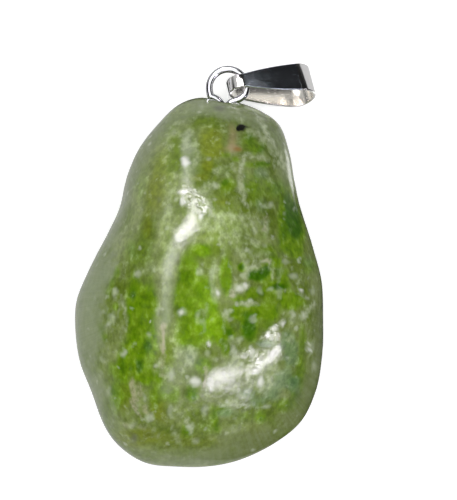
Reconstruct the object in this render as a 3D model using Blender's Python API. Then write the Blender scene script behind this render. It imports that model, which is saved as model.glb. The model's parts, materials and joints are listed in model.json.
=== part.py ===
"""A tumbled peridot pendant lying on its back: the polished stone, a wire eye glued into its drilled
top and a tapered strap bail that swings on the eye. Built in metres, +Z up, +Y towards the eye."""

import math

import bmesh
import bpy
import numpy as np

MM = 0.001
ORIGIN_SHIFT = (0.025, -0.032, 0.0)

# Stone: outline as seen from above, angle in degrees and radius in millimetres about OUTLINE_CENTRE
OUTLINE_CENTRE = (0.0, -1.8)
OUTLINE = [
    (0, 11.03), (20, 10.78), (38, 11.50), (48, 12.75), (56, 14.45), (63, 16.10), (70, 16.66),
    (77, 16.85), (83, 16.80), (90, 16.93), (97, 16.36), (105, 15.00), (113, 13.64), (122, 12.04),
    (135, 10.16), (150, 9.52), (163, 9.64), (175, 10.21), (187, 11.14), (200, 11.92),
    (213, 12.81), (226, 13.80), (238, 15.60), (246, 16.43), (254, 16.75), (264, 16.52),
    (275, 16.36), (286, 16.11), (297, 15.73), (307, 15.30), (317, 14.25), (330, 12.75),
    (345, 11.56),
]
SECTION_POWER = 2.6
WAIST_HEIGHT = 6.3
FACE_HEIGHT = 15.2
FLAT_DEPTH = 0.16
ICO_LEVEL = 5

# Eye: a ring of round wire lying level, with two legs that close into a short shank
EYE_CENTRE = (2.565, 16.02)
EYE_HEIGHT = 4.3
RING_RADIUS = 1.70
WIRE_RADIUS = 0.29
NECK = (2.33, 14.30)
SHANK_RADIUS = 0.46
SHANK_DEPTH = 5.0
HOLE_RADIUS = 0.62
HOLE_DEPTH = 5.8
COUNTERSINK_RADIUS = 1.70
COUNTERSINK_DEPTH = 1.10

# Bail: a closed strap around a small circle at the eye end and a large one at the open end
BAIL_CENTRE = (3.69, 16.18)
BAIL_HEIGHT = 4.30
BAIL_SMALL_RADIUS = 1.05
BAIL_LARGE_RADIUS = 1.50
BAIL_CENTRE_GAP = 5.36
BAIL_THICKNESS = 0.26
BAIL_WIDTH = 2.81
BAIL_TAPER = 0.036
BAIL_TAPER_END = 6.5
BAIL_YAW = 1.7
BAIL_PITCH = 22.0
BAIL_ROLL = 29.0


def wipe():
    for ob in list(bpy.data.objects):
        bpy.data.objects.remove(ob, do_unlink=True)


def outline_radius(theta):
    """Radius of the outline at angle theta: a closed cubic curve through the listed points."""
    at = np.array([p[0] for p in OUTLINE], float)
    radius = np.array([p[1] for p in OUTLINE], float)
    count = len(at)
    at3 = np.concatenate([at - 360.0, at, at + 360.0])
    radius3 = np.tile(radius, 3)
    slope = (np.roll(radius3, -1) - np.roll(radius3, 1)) / (np.roll(at3, -1) - np.roll(at3, 1))
    deg = np.degrees(theta) % 360.0
    i = np.searchsorted(at3, deg, side="right") - 1
    i = np.clip(i, count // 2, 3 * count - 2)
    step = at3[i + 1] - at3[i]
    t = (deg - at3[i]) / step
    return (
        radius3[i] * (2 * t**3 - 3 * t**2 + 1)
        + slope[i] * step * (t**3 - 2 * t**2 + t)
        + radius3[i + 1] * (3 * t**2 - 2 * t**3)
        + slope[i + 1] * step * (t**3 - t**2)
    )


def soft_min(values, blend):
    """Smallest of several heights with the creases between them rounded over about `blend`."""
    low = np.min(values, axis=0)
    return low - blend * np.log(np.sum(np.exp(-(values - low) / blend), axis=0))


def ease(value, start, end):
    t = np.clip((value - start) / (end - start), 0.0, 1.0)
    return t * t * (3.0 - 2.0 * t)


def waist(y):
    """Height of the widest line around the stone, lower at the drilled end."""
    return WAIST_HEIGHT + (EYE_HEIGHT - WAIST_HEIGHT) * ease(y, 0.0, 14.5)


def face_height(x, y):
    """Broad gently tilted faces of the upper side: left flank, front face, right shoulder,
    lower right flank, lower end and the slope up to the drilled end."""
    planes = np.array([
        FACE_HEIGHT + 0.34 * (x + 2.4) - 0.03 * (y + 2.0),
        FACE_HEIGHT - 0.10 * (x + 2.4),
        10.6 - 0.62 * (0.81 * (x - 5.6) + 0.59 * (y - 11.0)),
        13.2 - 0.50 * (0.555 * (x - 4.2) - 0.832 * (y + 8.4)),
        14.3 + 0.16 * (y + 10.5),
        14.8 - 0.40 * (y - 3.0),
    ])
    return soft_min(planes, 0.55)


def back_height(x, y):
    """Low back of the stone: nearly level under the middle, lifting towards both ends."""
    return -FLAT_DEPTH + 0.012 * x**2 + 0.006 * (y + 1.8) ** 2 + 1.1 * ease(y, 8.0, 15.0)


def stone_points(directions):
    """Each unit direction goes to plan radius R(theta) * f and to a height between the waist and
    the face or the back, where f^n + g^n = 1 rounds the section."""
    x, y, z = directions.T
    flat = np.hypot(x, y)
    size = (flat**SECTION_POWER + np.abs(z) ** SECTION_POWER) ** (1.0 / SECTION_POWER)
    f, g = flat / size, np.abs(z) / size
    theta = np.arctan2(y, x)
    reach = outline_radius(theta) * f
    px = OUTLINE_CENTRE[0] + reach * np.cos(theta)
    py = OUTLINE_CENTRE[1] + reach * np.sin(theta)
    mid = waist(py)
    up = mid + g * (face_height(px, py) - mid)
    down = mid + g * (back_height(px, py) - mid)
    return np.column_stack([px, py, np.where(z >= 0.0, up, down)])


def object_from_mesh(bm, name, material):
    bmesh.ops.recalc_face_normals(bm, faces=bm.faces)
    mesh = bpy.data.meshes.new(name)
    bm.to_mesh(mesh)
    bm.free()
    ob = bpy.data.objects.new(name, mesh)
    bpy.context.scene.collection.objects.link(ob)
    for polygon in mesh.polygons:
        polygon.use_smooth = True
    mesh.set_sharp_from_angle(angle=math.radians(40.0))
    if material:
        mesh.materials.append(material)
    return ob


def material(name, colour, roughness, metallic):
    made = bpy.data.materials.new(name)
    made.use_nodes = True
    shader = made.node_tree.nodes["Principled BSDF"]
    shader.inputs["Base Color"].default_value = (*colour, 1.0)
    shader.inputs["Roughness"].default_value = roughness
    shader.inputs["Metallic"].default_value = metallic
    return made


def build_stone(shift, look):
    bm = bmesh.new()
    bmesh.ops.create_icosphere(bm, subdivisions=ICO_LEVEL, radius=1.0)
    directions = np.array([v.co[:] for v in bm.verts])
    directions /= np.linalg.norm(directions, axis=1)[:, None]
    for vert, point in zip(bm.verts, stone_points(directions)):
        vert.co = (point + shift) * MM
    geometry = bm.verts[:] + bm.edges[:] + bm.faces[:]
    bmesh.ops.bisect_plane(
        bm, geom=geometry, dist=1e-7, plane_co=(0, 0, 0), plane_no=(0, 0, -1), clear_outer=True
    )
    bmesh.ops.holes_fill(bm, edges=[e for e in bm.edges if e.is_boundary])
    bmesh.ops.triangulate(bm, faces=[face for face in bm.faces if len(face.verts) > 3])
    stone = object_from_mesh(bm, "stone", look)
    neck = np.array([NECK[0], NECK[1], EYE_HEIGHT]) + shift
    drill = turned_cutter(
        "drill",
        neck,
        [(HOLE_RADIUS, -HOLE_DEPTH), (HOLE_RADIUS, -0.22), (COUNTERSINK_RADIUS, COUNTERSINK_DEPTH),
         (COUNTERSINK_RADIUS, COUNTERSINK_DEPTH + 2.0)],
        32,
    )
    cut(stone, drill)
    return stone


def turned_cutter(name, base, profile, sides):
    """Turned shape about the line through base along +Y: a list of radius and distance pairs."""
    bm = bmesh.new()
    rings = []
    for radius, along in profile:
        ring = []
        for k in range(sides):
            angle = 2.0 * math.pi * k / sides
            point = base + np.array([radius * math.cos(angle), along, radius * math.sin(angle)])
            ring.append(bm.verts.new(point * MM))
        rings.append(ring)
    for low, high in zip(rings[:-1], rings[1:]):
        for k in range(sides):
            bm.faces.new([low[k], low[(k + 1) % sides], high[(k + 1) % sides], high[k]])
    bm.faces.new(rings[0])
    bm.faces.new(list(reversed(rings[-1])))
    ob = object_from_mesh(bm, name, None)
    ob.hide_render = True
    ob.display_type = "WIRE"
    return ob


def cut(target, tool, operation="DIFFERENCE"):
    modifier = target.modifiers.new(operation.lower(), "BOOLEAN")
    modifier.operation = operation
    modifier.solver = "EXACT"
    modifier.use_self = operation == "UNION"
    modifier.object = tool


def eye_path():
    """Centre line of the wire: up the left leg, round the ring and down the right leg."""
    cx, cy = EYE_CENTRE
    nx, ny = NECK
    start = [(nx - 0.10, ny - 0.70), (nx - 0.12, ny - 0.15), (nx - 0.32, ny + 0.20),
             (nx - 0.72, ny + 0.66)]
    turn = np.radians(np.arange(206.0, -9.0, -12.0))
    ring = [(cx + RING_RADIUS * math.cos(a), cy + RING_RADIUS * math.sin(a)) for a in turn]
    end = [(cx + 1.52, cy - 0.58), (cx + 1.02, cy - 1.00), (nx + 0.50, ny + 0.40),
           (nx + 0.16, ny - 0.05), (nx + 0.10, ny - 0.70)]
    return np.array(start + ring + end)


def smooth_path(points, steps):
    """Points of an even curve that runs through the given ones."""
    ghost = np.vstack([2 * points[0] - points[1], points, 2 * points[-1] - points[-2]])
    made = []
    for i in range(1, len(ghost) - 2):
        p0, p1, p2, p3 = ghost[i - 1 : i + 3]
        for t in np.arange(steps) / steps:
            made.append(0.5 * (2 * p1 + (p2 - p0) * t + (2 * p0 - 5 * p1 + 4 * p2 - p3) * t**2
                               + (3 * p1 - p0 - 3 * p2 + p3) * t**3))
    made.append(points[-1])
    return np.array(made)


def build_eye(shift, look):
    flat = smooth_path(eye_path(), 2)
    along = np.gradient(flat, axis=0)
    along /= np.linalg.norm(along, axis=1)[:, None]
    side = np.column_stack([-along[:, 1], along[:, 0]])
    sides = 12
    bm = bmesh.new()
    rings = []
    for centre, across in zip(flat, side):
        ring = []
        for k in range(sides):
            angle = 2.0 * math.pi * (k + 0.5) / sides
            plan = centre + across * WIRE_RADIUS * math.cos(angle)
            height = EYE_HEIGHT + WIRE_RADIUS * math.sin(angle)
            ring.append(bm.verts.new((np.array([plan[0], plan[1], height]) + shift) * MM))
        rings.append(ring)
    for low, high in zip(rings[:-1], rings[1:]):
        for k in range(sides):
            bm.faces.new([low[k], low[(k + 1) % sides], high[(k + 1) % sides], high[k]])
    bm.faces.new(rings[0])
    bm.faces.new(list(reversed(rings[-1])))
    eye = object_from_mesh(bm, "eye_peg", look)
    neck = np.array([NECK[0], NECK[1], EYE_HEIGHT]) + shift
    shank = turned_cutter(
        "shank", neck,
        [(SHANK_RADIUS * 0.75, -SHANK_DEPTH), (SHANK_RADIUS, -SHANK_DEPTH + 0.3),
         (SHANK_RADIUS, -0.10), (SHANK_RADIUS * 0.6, 0.12)],
        16,
    )
    cut(eye, shank, "UNION")
    return eye


def bail_frame():
    """Columns: along the bail, across the strap and out of its front face."""
    yaw, pitch, roll = (math.radians(v) for v in (BAIL_YAW, BAIL_PITCH, -BAIL_ROLL))
    about_x = np.array([[1, 0, 0], [0, math.cos(roll), -math.sin(roll)],
                        [0, math.sin(roll), math.cos(roll)]])
    about_y = np.array([[math.cos(pitch), 0, math.sin(pitch)], [0, 1, 0],
                        [-math.sin(pitch), 0, math.cos(pitch)]])
    about_z = np.array([[math.cos(yaw), -math.sin(yaw), 0], [math.sin(yaw), math.cos(yaw), 0],
                        [0, 0, 1]])
    return about_z @ about_y @ about_x


def bail_loop():
    """Stations round the loop as distance along, depth and outward angle, front face first."""
    tilt = math.asin((BAIL_LARGE_RADIUS - BAIL_SMALL_RADIUS) / BAIL_CENTRE_GAP)
    up, down = math.pi / 2 + tilt, -math.pi / 2 - tilt
    stations = []
    for angle in np.linspace(up, down, 17):
        stations.append((BAIL_CENTRE_GAP + BAIL_LARGE_RADIUS * math.cos(angle),
                         BAIL_LARGE_RADIUS * math.sin(angle), angle))
    large_end, small_start = stations[-1], None
    small = []
    for angle in np.linspace(down, up - 2 * math.pi, 15):
        small.append((BAIL_SMALL_RADIUS * math.cos(angle), BAIL_SMALL_RADIUS * math.sin(angle),
                      angle))
    small_start = small[0]
    for t in np.linspace(0, 1, 8)[1:-1]:
        stations.append(tuple(a + (b - a) * t for a, b in zip(large_end, small_start)))
    stations += small
    back = (stations[0][0], stations[0][1], up)
    last = (small[-1][0], small[-1][1], up)
    for t in np.linspace(0, 1, 8)[1:-1]:
        stations.append(tuple(a + (b - a) * t for a, b in zip(last, back)))
    return stations


def build_bail(shift, look):
    frame = bail_frame()
    centre = np.array([BAIL_CENTRE[0], BAIL_CENTRE[1], BAIL_HEIGHT]) + shift
    half, nick = BAIL_THICKNESS / 2.0, 0.06
    bm = bmesh.new()
    rings = []
    for along, depth, angle in bail_loop():
        width = BAIL_WIDTH - BAIL_TAPER * (BAIL_TAPER_END - min(max(along, 0.0), 6.5)) ** 2
        out = np.array([math.cos(angle), 0.0, math.sin(angle)])
        w = width / 2.0
        section = [(-w + nick, half), (w - nick, half), (w, half - nick), (w, -half + nick),
                   (w - nick, -half), (-w + nick, -half), (-w, -half + nick), (-w, half - nick)]
        ring = []
        for across, thick in section:
            local = np.array([along, across, depth]) + out * thick
            ring.append(bm.verts.new((centre + frame @ local) * MM))
        rings.append(ring)
    for low, high in zip(rings, rings[1:] + rings[:1]):
        for k in range(8):
            bm.faces.new([low[k], low[(k + 1) % 8], high[(k + 1) % 8], high[k]])
    return object_from_mesh(bm, "bail", look)


def main():
    wipe()
    peridot = material("peridot", (0.30, 0.36, 0.12), 0.12, 0.0)
    eye_silver = material("eye_silver", (0.78, 0.77, 0.75), 0.18, 1.0)
    bail_silver = material("bail_silver", (0.74, 0.74, 0.74), 0.12, 1.0)
    shift = np.array(ORIGIN_SHIFT)
    build_stone(shift, peridot)
    build_eye(shift, eye_silver)
    build_bail(shift, bail_silver)


main()
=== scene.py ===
"""Looks of the tumbled peridot pendant: the cloudy green polished stone, the silver wire eye in its
drilled end and the polished strap bail. Lengths are in millimetres until MM scales them."""

import json
import math

import bpy
import numpy as np
from mathutils import Matrix

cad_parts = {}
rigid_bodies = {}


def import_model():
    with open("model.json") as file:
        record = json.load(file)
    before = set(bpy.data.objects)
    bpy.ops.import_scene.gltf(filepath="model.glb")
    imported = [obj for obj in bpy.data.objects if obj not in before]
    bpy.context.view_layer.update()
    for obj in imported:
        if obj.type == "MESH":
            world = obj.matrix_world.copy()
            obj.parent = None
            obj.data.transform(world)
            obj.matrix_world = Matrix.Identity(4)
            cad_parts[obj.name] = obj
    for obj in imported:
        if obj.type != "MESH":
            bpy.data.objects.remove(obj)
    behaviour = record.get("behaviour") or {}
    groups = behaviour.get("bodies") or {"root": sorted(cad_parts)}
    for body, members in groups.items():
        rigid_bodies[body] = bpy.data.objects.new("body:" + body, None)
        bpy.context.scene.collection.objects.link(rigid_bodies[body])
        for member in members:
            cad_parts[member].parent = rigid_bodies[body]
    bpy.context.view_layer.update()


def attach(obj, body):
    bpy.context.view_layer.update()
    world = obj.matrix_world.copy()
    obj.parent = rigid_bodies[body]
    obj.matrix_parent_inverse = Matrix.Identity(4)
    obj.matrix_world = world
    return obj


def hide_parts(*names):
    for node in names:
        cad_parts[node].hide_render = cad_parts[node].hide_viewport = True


MM = 0.001

# Same shape values as the solids, except that the wire is 0.03 thicker in radius
ORIGIN_SHIFT = np.array([0.025, -0.032, 0.0])
OUTLINE_CENTRE = (0.0, -1.8)
OUTLINE = [
    (0, 11.03), (20, 10.78), (38, 11.50), (48, 12.75), (56, 14.45), (63, 16.10), (70, 16.66),
    (77, 16.85), (83, 16.80), (90, 16.93), (97, 16.36), (105, 15.00), (113, 13.64), (122, 12.04),
    (135, 10.16), (150, 9.52), (163, 9.64), (175, 10.21), (187, 11.14), (200, 11.92), (213, 12.81),
    (226, 13.80), (238, 15.60), (246, 16.43), (254, 16.75), (264, 16.52), (275, 16.36),
    (286, 16.11), (297, 15.73), (307, 15.30), (317, 14.25), (330, 12.75), (345, 11.56),
]
SECTION_POWER = 2.6
WAIST_HEIGHT = 6.3
FACE_HEIGHT = 15.2
FLAT_DEPTH = 0.16
EYE_CENTRE = (2.565, 16.02)
EYE_HEIGHT = 4.3
RING_RADIUS = 1.70
WIRE_RADIUS = 0.32
NECK = (2.33, 14.30)
SHANK_RADIUS = 0.46
SHANK_DEPTH = 5.0
HOLE_RADIUS = 0.62
COUNTERSINK_RADIUS = 1.70
COUNTERSINK_DEPTH = 1.10
COUNTERSINK_FOOT = 0.22
COUNTERSINK_REACH = 1.5
BORE_DRAWN = 1.4
BAIL_CENTRE = (3.69, 16.18)
BAIL_HEIGHT = 4.30
BAIL_SMALL_RADIUS = 1.05
BAIL_LARGE_RADIUS = 1.50
BAIL_CENTRE_GAP = 5.36
BAIL_THICKNESS = 0.26
BAIL_WIDTH = 2.81
BAIL_TAPER = 0.036
BAIL_TAPER_END = 6.5
BAIL_YAW = 1.7
BAIL_PITCH = 22.0
BAIL_ROLL = 29.0
EDGE_ROUND = 0.07

# How finely the surfaces are drawn
FACE_CELLS = 180
FLANK_CELLS = 40
WIRE_SIDES = 28
STRAP_STATIONS = 260
EDGE_STEPS = 5

# Run along the strap's centre line at which its front begins
FRONT_START = 13.43

# Heights between which marks and relief fade in from the widest line up
MARK_FADE = (3.5, 7.0)
RELIEF_FADE = (6.0, 9.0)

# Camera, straight above the middle of the picture, which is framed at FRAMED_HEIGHT
PICTURE_CENTRE = (2.635, 1.318)
PICTURE_HEIGHT = 45.0
CAMERA_DISTANCE = 450.0
FRAMED_HEIGHT = 7.0
SENSOR = 36.0


# Shape of the stone

def outline_radius(theta):
    """Closed cubic curve of the outline's radius through the listed angles."""
    at = np.array([p[0] for p in OUTLINE], float)
    radius = np.array([p[1] for p in OUTLINE], float)
    count = len(at)
    at3 = np.concatenate([at - 360.0, at, at + 360.0])
    radius3 = np.tile(radius, 3)
    slope = (np.roll(radius3, -1) - np.roll(radius3, 1)) / (np.roll(at3, -1) - np.roll(at3, 1))
    deg = np.degrees(theta) % 360.0
    i = np.clip(np.searchsorted(at3, deg, side="right") - 1, count // 2, 3 * count - 2)
    step = at3[i + 1] - at3[i]
    t = (deg - at3[i]) / step
    return (
        radius3[i] * (2 * t**3 - 3 * t**2 + 1)
        + slope[i] * step * (t**3 - 2 * t**2 + t)
        + radius3[i + 1] * (3 * t**2 - 2 * t**3)
        + slope[i + 1] * step * (t**3 - t**2)
    )


def soft_min(values, blend):
    """Smallest of several heights, creases rounded over about `blend` by a log of exponentials."""
    low = np.min(values, axis=0)
    return low - blend * np.log(np.sum(np.exp(-(values - low) / blend), axis=0))


def ease(value, start, end):
    """Smooth step 3t^2 - 2t^3, where t runs from 0 at start to 1 at end."""
    t = np.clip((value - start) / (end - start), 0.0, 1.0)
    return t * t * (3.0 - 2.0 * t)


def waist(y):
    """Height of the widest line: level, then eased to the eye's height at the drilled end."""
    return WAIST_HEIGHT + (EYE_HEIGHT - WAIST_HEIGHT) * ease(y, 0.0, 14.5)


def face_height(x, y):
    """Upper side: the soft minimum of six tilted planes, one for each broad tumbled face."""
    planes = np.array([
        FACE_HEIGHT + 0.34 * (x + 2.4) - 0.03 * (y + 2.0),
        FACE_HEIGHT - 0.10 * (x + 2.4),
        10.6 - 0.62 * (0.81 * (x - 5.6) + 0.59 * (y - 11.0)),
        13.2 - 0.50 * (0.555 * (x - 4.2) - 0.832 * (y + 8.4)),
        14.3 + 0.16 * (y + 10.5),
        14.8 - 0.40 * (y - 3.0),
    ])
    return soft_min(planes, 0.55)


def back_height(x, y):
    """Underside: a shallow bowl, the squares of x and y, that lifts towards the drilled end."""
    return -FLAT_DEPTH + 0.012 * x**2 + 0.006 * (y + 1.8) ** 2 + 1.1 * ease(y, 8.0, 15.0)


def stone_points(directions):
    """Each unit direction goes to plan radius R(theta) * f and to a height g of the way from the
    waist to the face or the back, where f^n + g^n = 1. Returns the points and f."""
    x, y, z = directions.T
    flat = np.hypot(x, y)
    size = (flat**SECTION_POWER + np.abs(z) ** SECTION_POWER) ** (1.0 / SECTION_POWER)
    f, g = flat / size, np.abs(z) / size
    theta = np.arctan2(y, x)
    reach = outline_radius(theta) * f
    px = OUTLINE_CENTRE[0] + reach * np.cos(theta)
    py = OUTLINE_CENTRE[1] + reach * np.sin(theta)
    mid = waist(py)
    up = mid + g * (face_height(px, py) - mid)
    down = mid + g * (back_height(px, py) - mid)
    return np.column_stack([px, py, np.where(z >= 0.0, up, down)]), f


def shell_directions():
    """Unit directions from two square grids, above and below, and four lower ones round the
    waist, whose lines are spaced by the tangent, welded along their edges. Returns directions
    and quads."""
    fine = np.tan(np.linspace(-math.pi / 4, math.pi / 4, FACE_CELLS + 1))
    few = np.tan(np.linspace(-math.pi / 4, math.pi / 4, FLANK_CELLS + 1))
    every, quads, base = [], [], 0
    for side in range(6):
        first = few if side in (1, 3) else fine
        second = few if side in (0, 4) else fine
        a, b = np.meshgrid(first, second, indexing="ij")
        one = np.ones_like(a)
        xyz = [(one, a, b), (b, one, a), (a, b, one),
               (-one, b, a), (a, -one, b), (b, a, -one)][side]
        index = base + np.arange(a.size).reshape(a.shape)
        cell = np.stack([index[:-1, :-1], index[1:, :-1], index[1:, 1:], index[:-1, 1:]], axis=-1)
        every.append(np.stack(xyz, axis=-1).reshape(-1, 3))
        quads.append(cell.reshape(-1, 4))
        base += a.size
    every = np.concatenate(every)
    every /= np.linalg.norm(every, axis=1)[:, None]
    _, kept, same = np.unique(np.round(every, 6), axis=0, return_index=True, return_inverse=True)
    return every[kept], same.reshape(-1)[np.concatenate(quads)]


# Cloud zones of the upper side, in millimetres seen from above: x, y, radius across, radius along,
# strength
CLEAR_GREEN = [
    (-5.69, -3.18, 0.81, 2.52, 1), (-5.6, -6.96, 0.72, 2.7, 1), (-4.34, -3.45, 0.72, 2.52, 0.75),
    (-4.52, -7.23, 0.81, 1.8, 1), (-5.33, 1.14, 1.35, 1.35, 0.5), (-4.7, 3.12, 0.63, 1.26, 0.4),
    (-7.31, -0.66, 0.36, 0.54, 0.7), (-7.76, -1.56, 0.36, 0.63, 0.7),
    (-8.12, -2.46, 0.36, 0.63, 0.7), (-7.4, -3.72, 0.36, 0.45, 0.6), (-8.75, -5.7, 0.36, 0.63, 0.6),
    (-8.39, -6.51, 0.36, 0.45, 0.6), (-6.77, -9.3, 0.63, 1.17, 1), (-5.15, -9.12, 0.63, 1.17, 1),
    (-4.7, -9.93, 0.63, 0.63, 1), (-7.76, -9.3, 0.54, 0.72, 0.5), (-7.49, -11.73, 0.54, 1.53, 0.9),
    (-6.5, -11.46, 0.72, 1.17, 0.5), (-3.89, -11.1, 0.81, 1.8, 0.5),
    (-3.53, -9.84, 0.27, 0.63, 0.9), (-0.65, -11.46, 0.63, 0.72, 1),
    (-2.81, -11.28, 1.08, 1.08, 0.4), (-1.1, -14.88, 0.63, 0.63, 0.7),
    (1.33, -13.26, 0.45, 0.81, 0.6), (1.6, -14.43, 0.45, 0.72, 0.5), (2.23, -12.9, 0.54, 0.45, 0.7),
    (5.65, -13.53, 0.63, 0.72, 0.6), (8.17, -12.63, 1.8, 0.63, 0.7), (8.89, -11.73, 0.54, 1.08, 1),
    (4.12, -13.53, 1.26, 0.54, 0.45), (0.52, -14.43, 0.9, 0.9, 0.4),
    (-2.09, -11.73, 0.54, 0.72, 0.3), (4.57, 10.95, 0.81, 1.17, 0.6),
    (5.65, 10.41, 0.81, 0.72, 0.5), (2.5, 7.08, 0.81, 0.72, 0.7), (2.59, 8.43, 0.36, 0.45, 0.5),
    (3.22, 9.42, 0.36, 0.27, 0.5), (2.41, 9.78, 0.45, 0.27, 0.5), (5.74, 7.08, 1.62, 1.8, 0.4),
    (5.65, 8.97, 1.62, 0.32, 0.5), (6.82, 6.72, 0.81, 0.9, 0.4), (7.72, 6.27, 0.63, 1.08, 0.5),
    (4.75, 6.27, 0.72, 1.26, 0.4), (-0.83, -0.93, 0.9, 1.98, 1), (0.34, 1.23, 0.99, 0.63, 1),
    (-1.19, -3.18, 1.08, 1.8, 1), (0.52, -2.28, 0.81, 1.26, 0.9), (0.07, -5.43, 1.26, 2.16, 0.75),
    (1.51, -5.43, 0.9, 1.26, 0.8), (1.96, -6.06, 0.54, 1.08, 0.85), (-1.1, -6.33, 0.99, 1.44, 0.6),
    (0.34, -8.94, 0.81, 0.72, 1), (2.41, -0.84, 0.54, 1.71, 1), (1.24, -3.72, 0.54, 0.72, 0.8),
    (3.76, -0.21, 0.36, 0.4, 1), (6.73, 0.24, 0.72, 0.54, 0.8), (7.54, -1.02, 0.72, 0.9, 0.7),
    (7.0, -1.83, 1.08, 0.45, 0.9), (4.75, -2.55, 0.63, 0.63, 0.9), (6.01, -2.55, 0.81, 0.72, 0.9),
    (8.26, -3.18, 1.26, 0.81, 1), (3.67, -4.26, 0.99, 0.72, 1), (5.11, -4.08, 1.26, 0.63, 1),
    (6.37, -4.26, 0.81, 0.9, 0.9), (4.48, -5.7, 0.9, 1.26, 1), (2.77, -5.88, 0.63, 0.72, 0.8),
    (2.41, -7.32, 0.45, 0.72, 0.85), (6.01, -5.43, 0.54, 0.54, 0.6), (5.29, -0.93, 0.9, 0.63, 1),
    (3.67, -3.0, 0.72, 0.36, 0.6), (6.01, -0.66, 0.54, 0.72, 0.9), (8.26, 4.29, 0.9, 1.44, 1),
    (8.8, 2.76, 0.72, 1.26, 1), (7.99, 2.04, 0.81, 1.17, 0.8), (8.71, 1.14, 0.63, 0.9, 0.9),
    (7.63, 3.66, 0.72, 1.98, 0.8), (9.79, -0.12, 0.81, 0.81, 0.6), (9.25, -6.78, 0.36, 1.44, 0.6),
    (9.07, -9.66, 0.54, 1.8, 0.6), (8.44, -10.56, 0.63, 0.81, 0.7), (5.02, 1.32, 0.72, 0.54, 0.4),
    (6.4, 1.2, 0.8, 0.7, 0.5), (-6.4, -7.6, 0.7, 1.2, 0.6), (5.65, 2.67, 0.54, 0.54, 0.3),
    (-5.33, 7.62, 0.9, 2.25, 0.25),
]
DEEP_GREEN = [
    (5.2, -0.93, 0.81, 0.49, 1), (5.92, -0.48, 0.4, 0.4, 1), (4.48, -5.7, 0.63, 1.08, 0.9),
    (8.35, 4.47, 0.63, 1.08, 1), (8.71, 3.12, 0.54, 0.9, 0.9), (2.68, -5.97, 0.36, 0.45, 0.8),
    (4.57, 11.13, 0.54, 0.81, 0.45), (5.65, 10.32, 0.54, 0.45, 0.5), (7.18, -1.92, 0.81, 0.32, 0.7),
    (-5.87, -2.46, 0.45, 0.81, 0.5), (-4.61, -7.23, 0.45, 0.72, 0.6),
    (1.33, -13.35, 0.27, 0.54, 0.3), (1.6, -14.52, 0.27, 0.45, 0.3),
    (5.74, -13.62, 0.4, 0.54, 0.35), (2.32, 7.35, 0.36, 0.36, 0.6), (6.1, 9.06, 1.08, 0.22, 0.5),
    (3.76, -0.21, 0.27, 0.32, 0.6), (8.44, -10.47, 0.45, 0.63, 0.7),
    (8.89, -11.91, 0.36, 0.72, 0.6), (-5.24, -8.76, 0.36, 0.9, 0.5),
    (-6.77, -9.12, 0.36, 0.81, 0.4), (7.81, 5.82, 0.36, 0.72, 0.6), (2.5, -0.93, 0.32, 1.17, 0.3),
    (4.57, -4.35, 0.9, 0.36, 0.4), (-8.66, -5.97, 0.27, 0.45, 0.4),
    (-0.47, -11.55, 0.36, 0.54, 0.5), (7.54, 2.94, 0.45, 0.9, 0.4), (4.12, 7.8, 0.27, 1.08, 0.3),
    (-1.1, -14.88, 0.36, 0.36, 0.5), (7.0, -0.66, 0.27, 0.72, 0.5),
]
OLIVE_YELLOW = [
    (1.15, 11.04, 1.08, 1.35, 0.9), (1.33, 10.14, 0.9, 0.54, 0.9), (0.79, 8.79, 0.58, 0.63, 1),
    (0.07, 7.8, 0.99, 0.36, 0.8), (2.05, 5.64, 0.81, 0.45, 0.6), (-3.53, 7.8, 0.9, 2.88, 0.6),
    (-3.98, 5.82, 0.9, 1.26, 0.6), (-4.61, 3.3, 0.54, 1.26, 0.8), (-6.5, -11.46, 0.81, 1.17, 0.8),
    (-3.71, -12.36, 0.63, 1.44, 0.9), (-4.61, -15.24, 1.26, 0.63, 0.9),
    (-6.2, -15.6, 1.6, 0.9, 0.7), (-7.13, -12.63, 0.72, 1.08, 0.4), (8.26, -3.18, 1.08, 0.72, 0.8),
    (9.07, -4.26, 0.72, 0.54, 0.4), (-5.69, -5.88, 0.72, 2.7, 0.35),
    (-0.83, -2.28, 0.9, 1.98, 0.25), (3.85, 9.6, 0.9, 0.27, 0.3), (-2.18, -15.78, 2.52, 0.9, 0.5),
    (-3.08, -13.53, 0.72, 1.44, 0.4), (0.97, -16.05, 1.98, 0.72, 0.4),
    (5.02, -14.7, 1.08, 0.81, 0.3), (3.04, 10.32, 0.45, 0.27, 0.5), (6.37, -3.18, 0.72, 0.45, 0.4),
    (0.34, 1.23, 0.72, 0.45, 0.4), (-2.0, 7.8, 0.63, 1.08, 0.3), (8.17, 1.68, 0.72, 0.72, 0.5),
    (-5.69, -10.2, 0.54, 0.54, 0.5),
]
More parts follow.
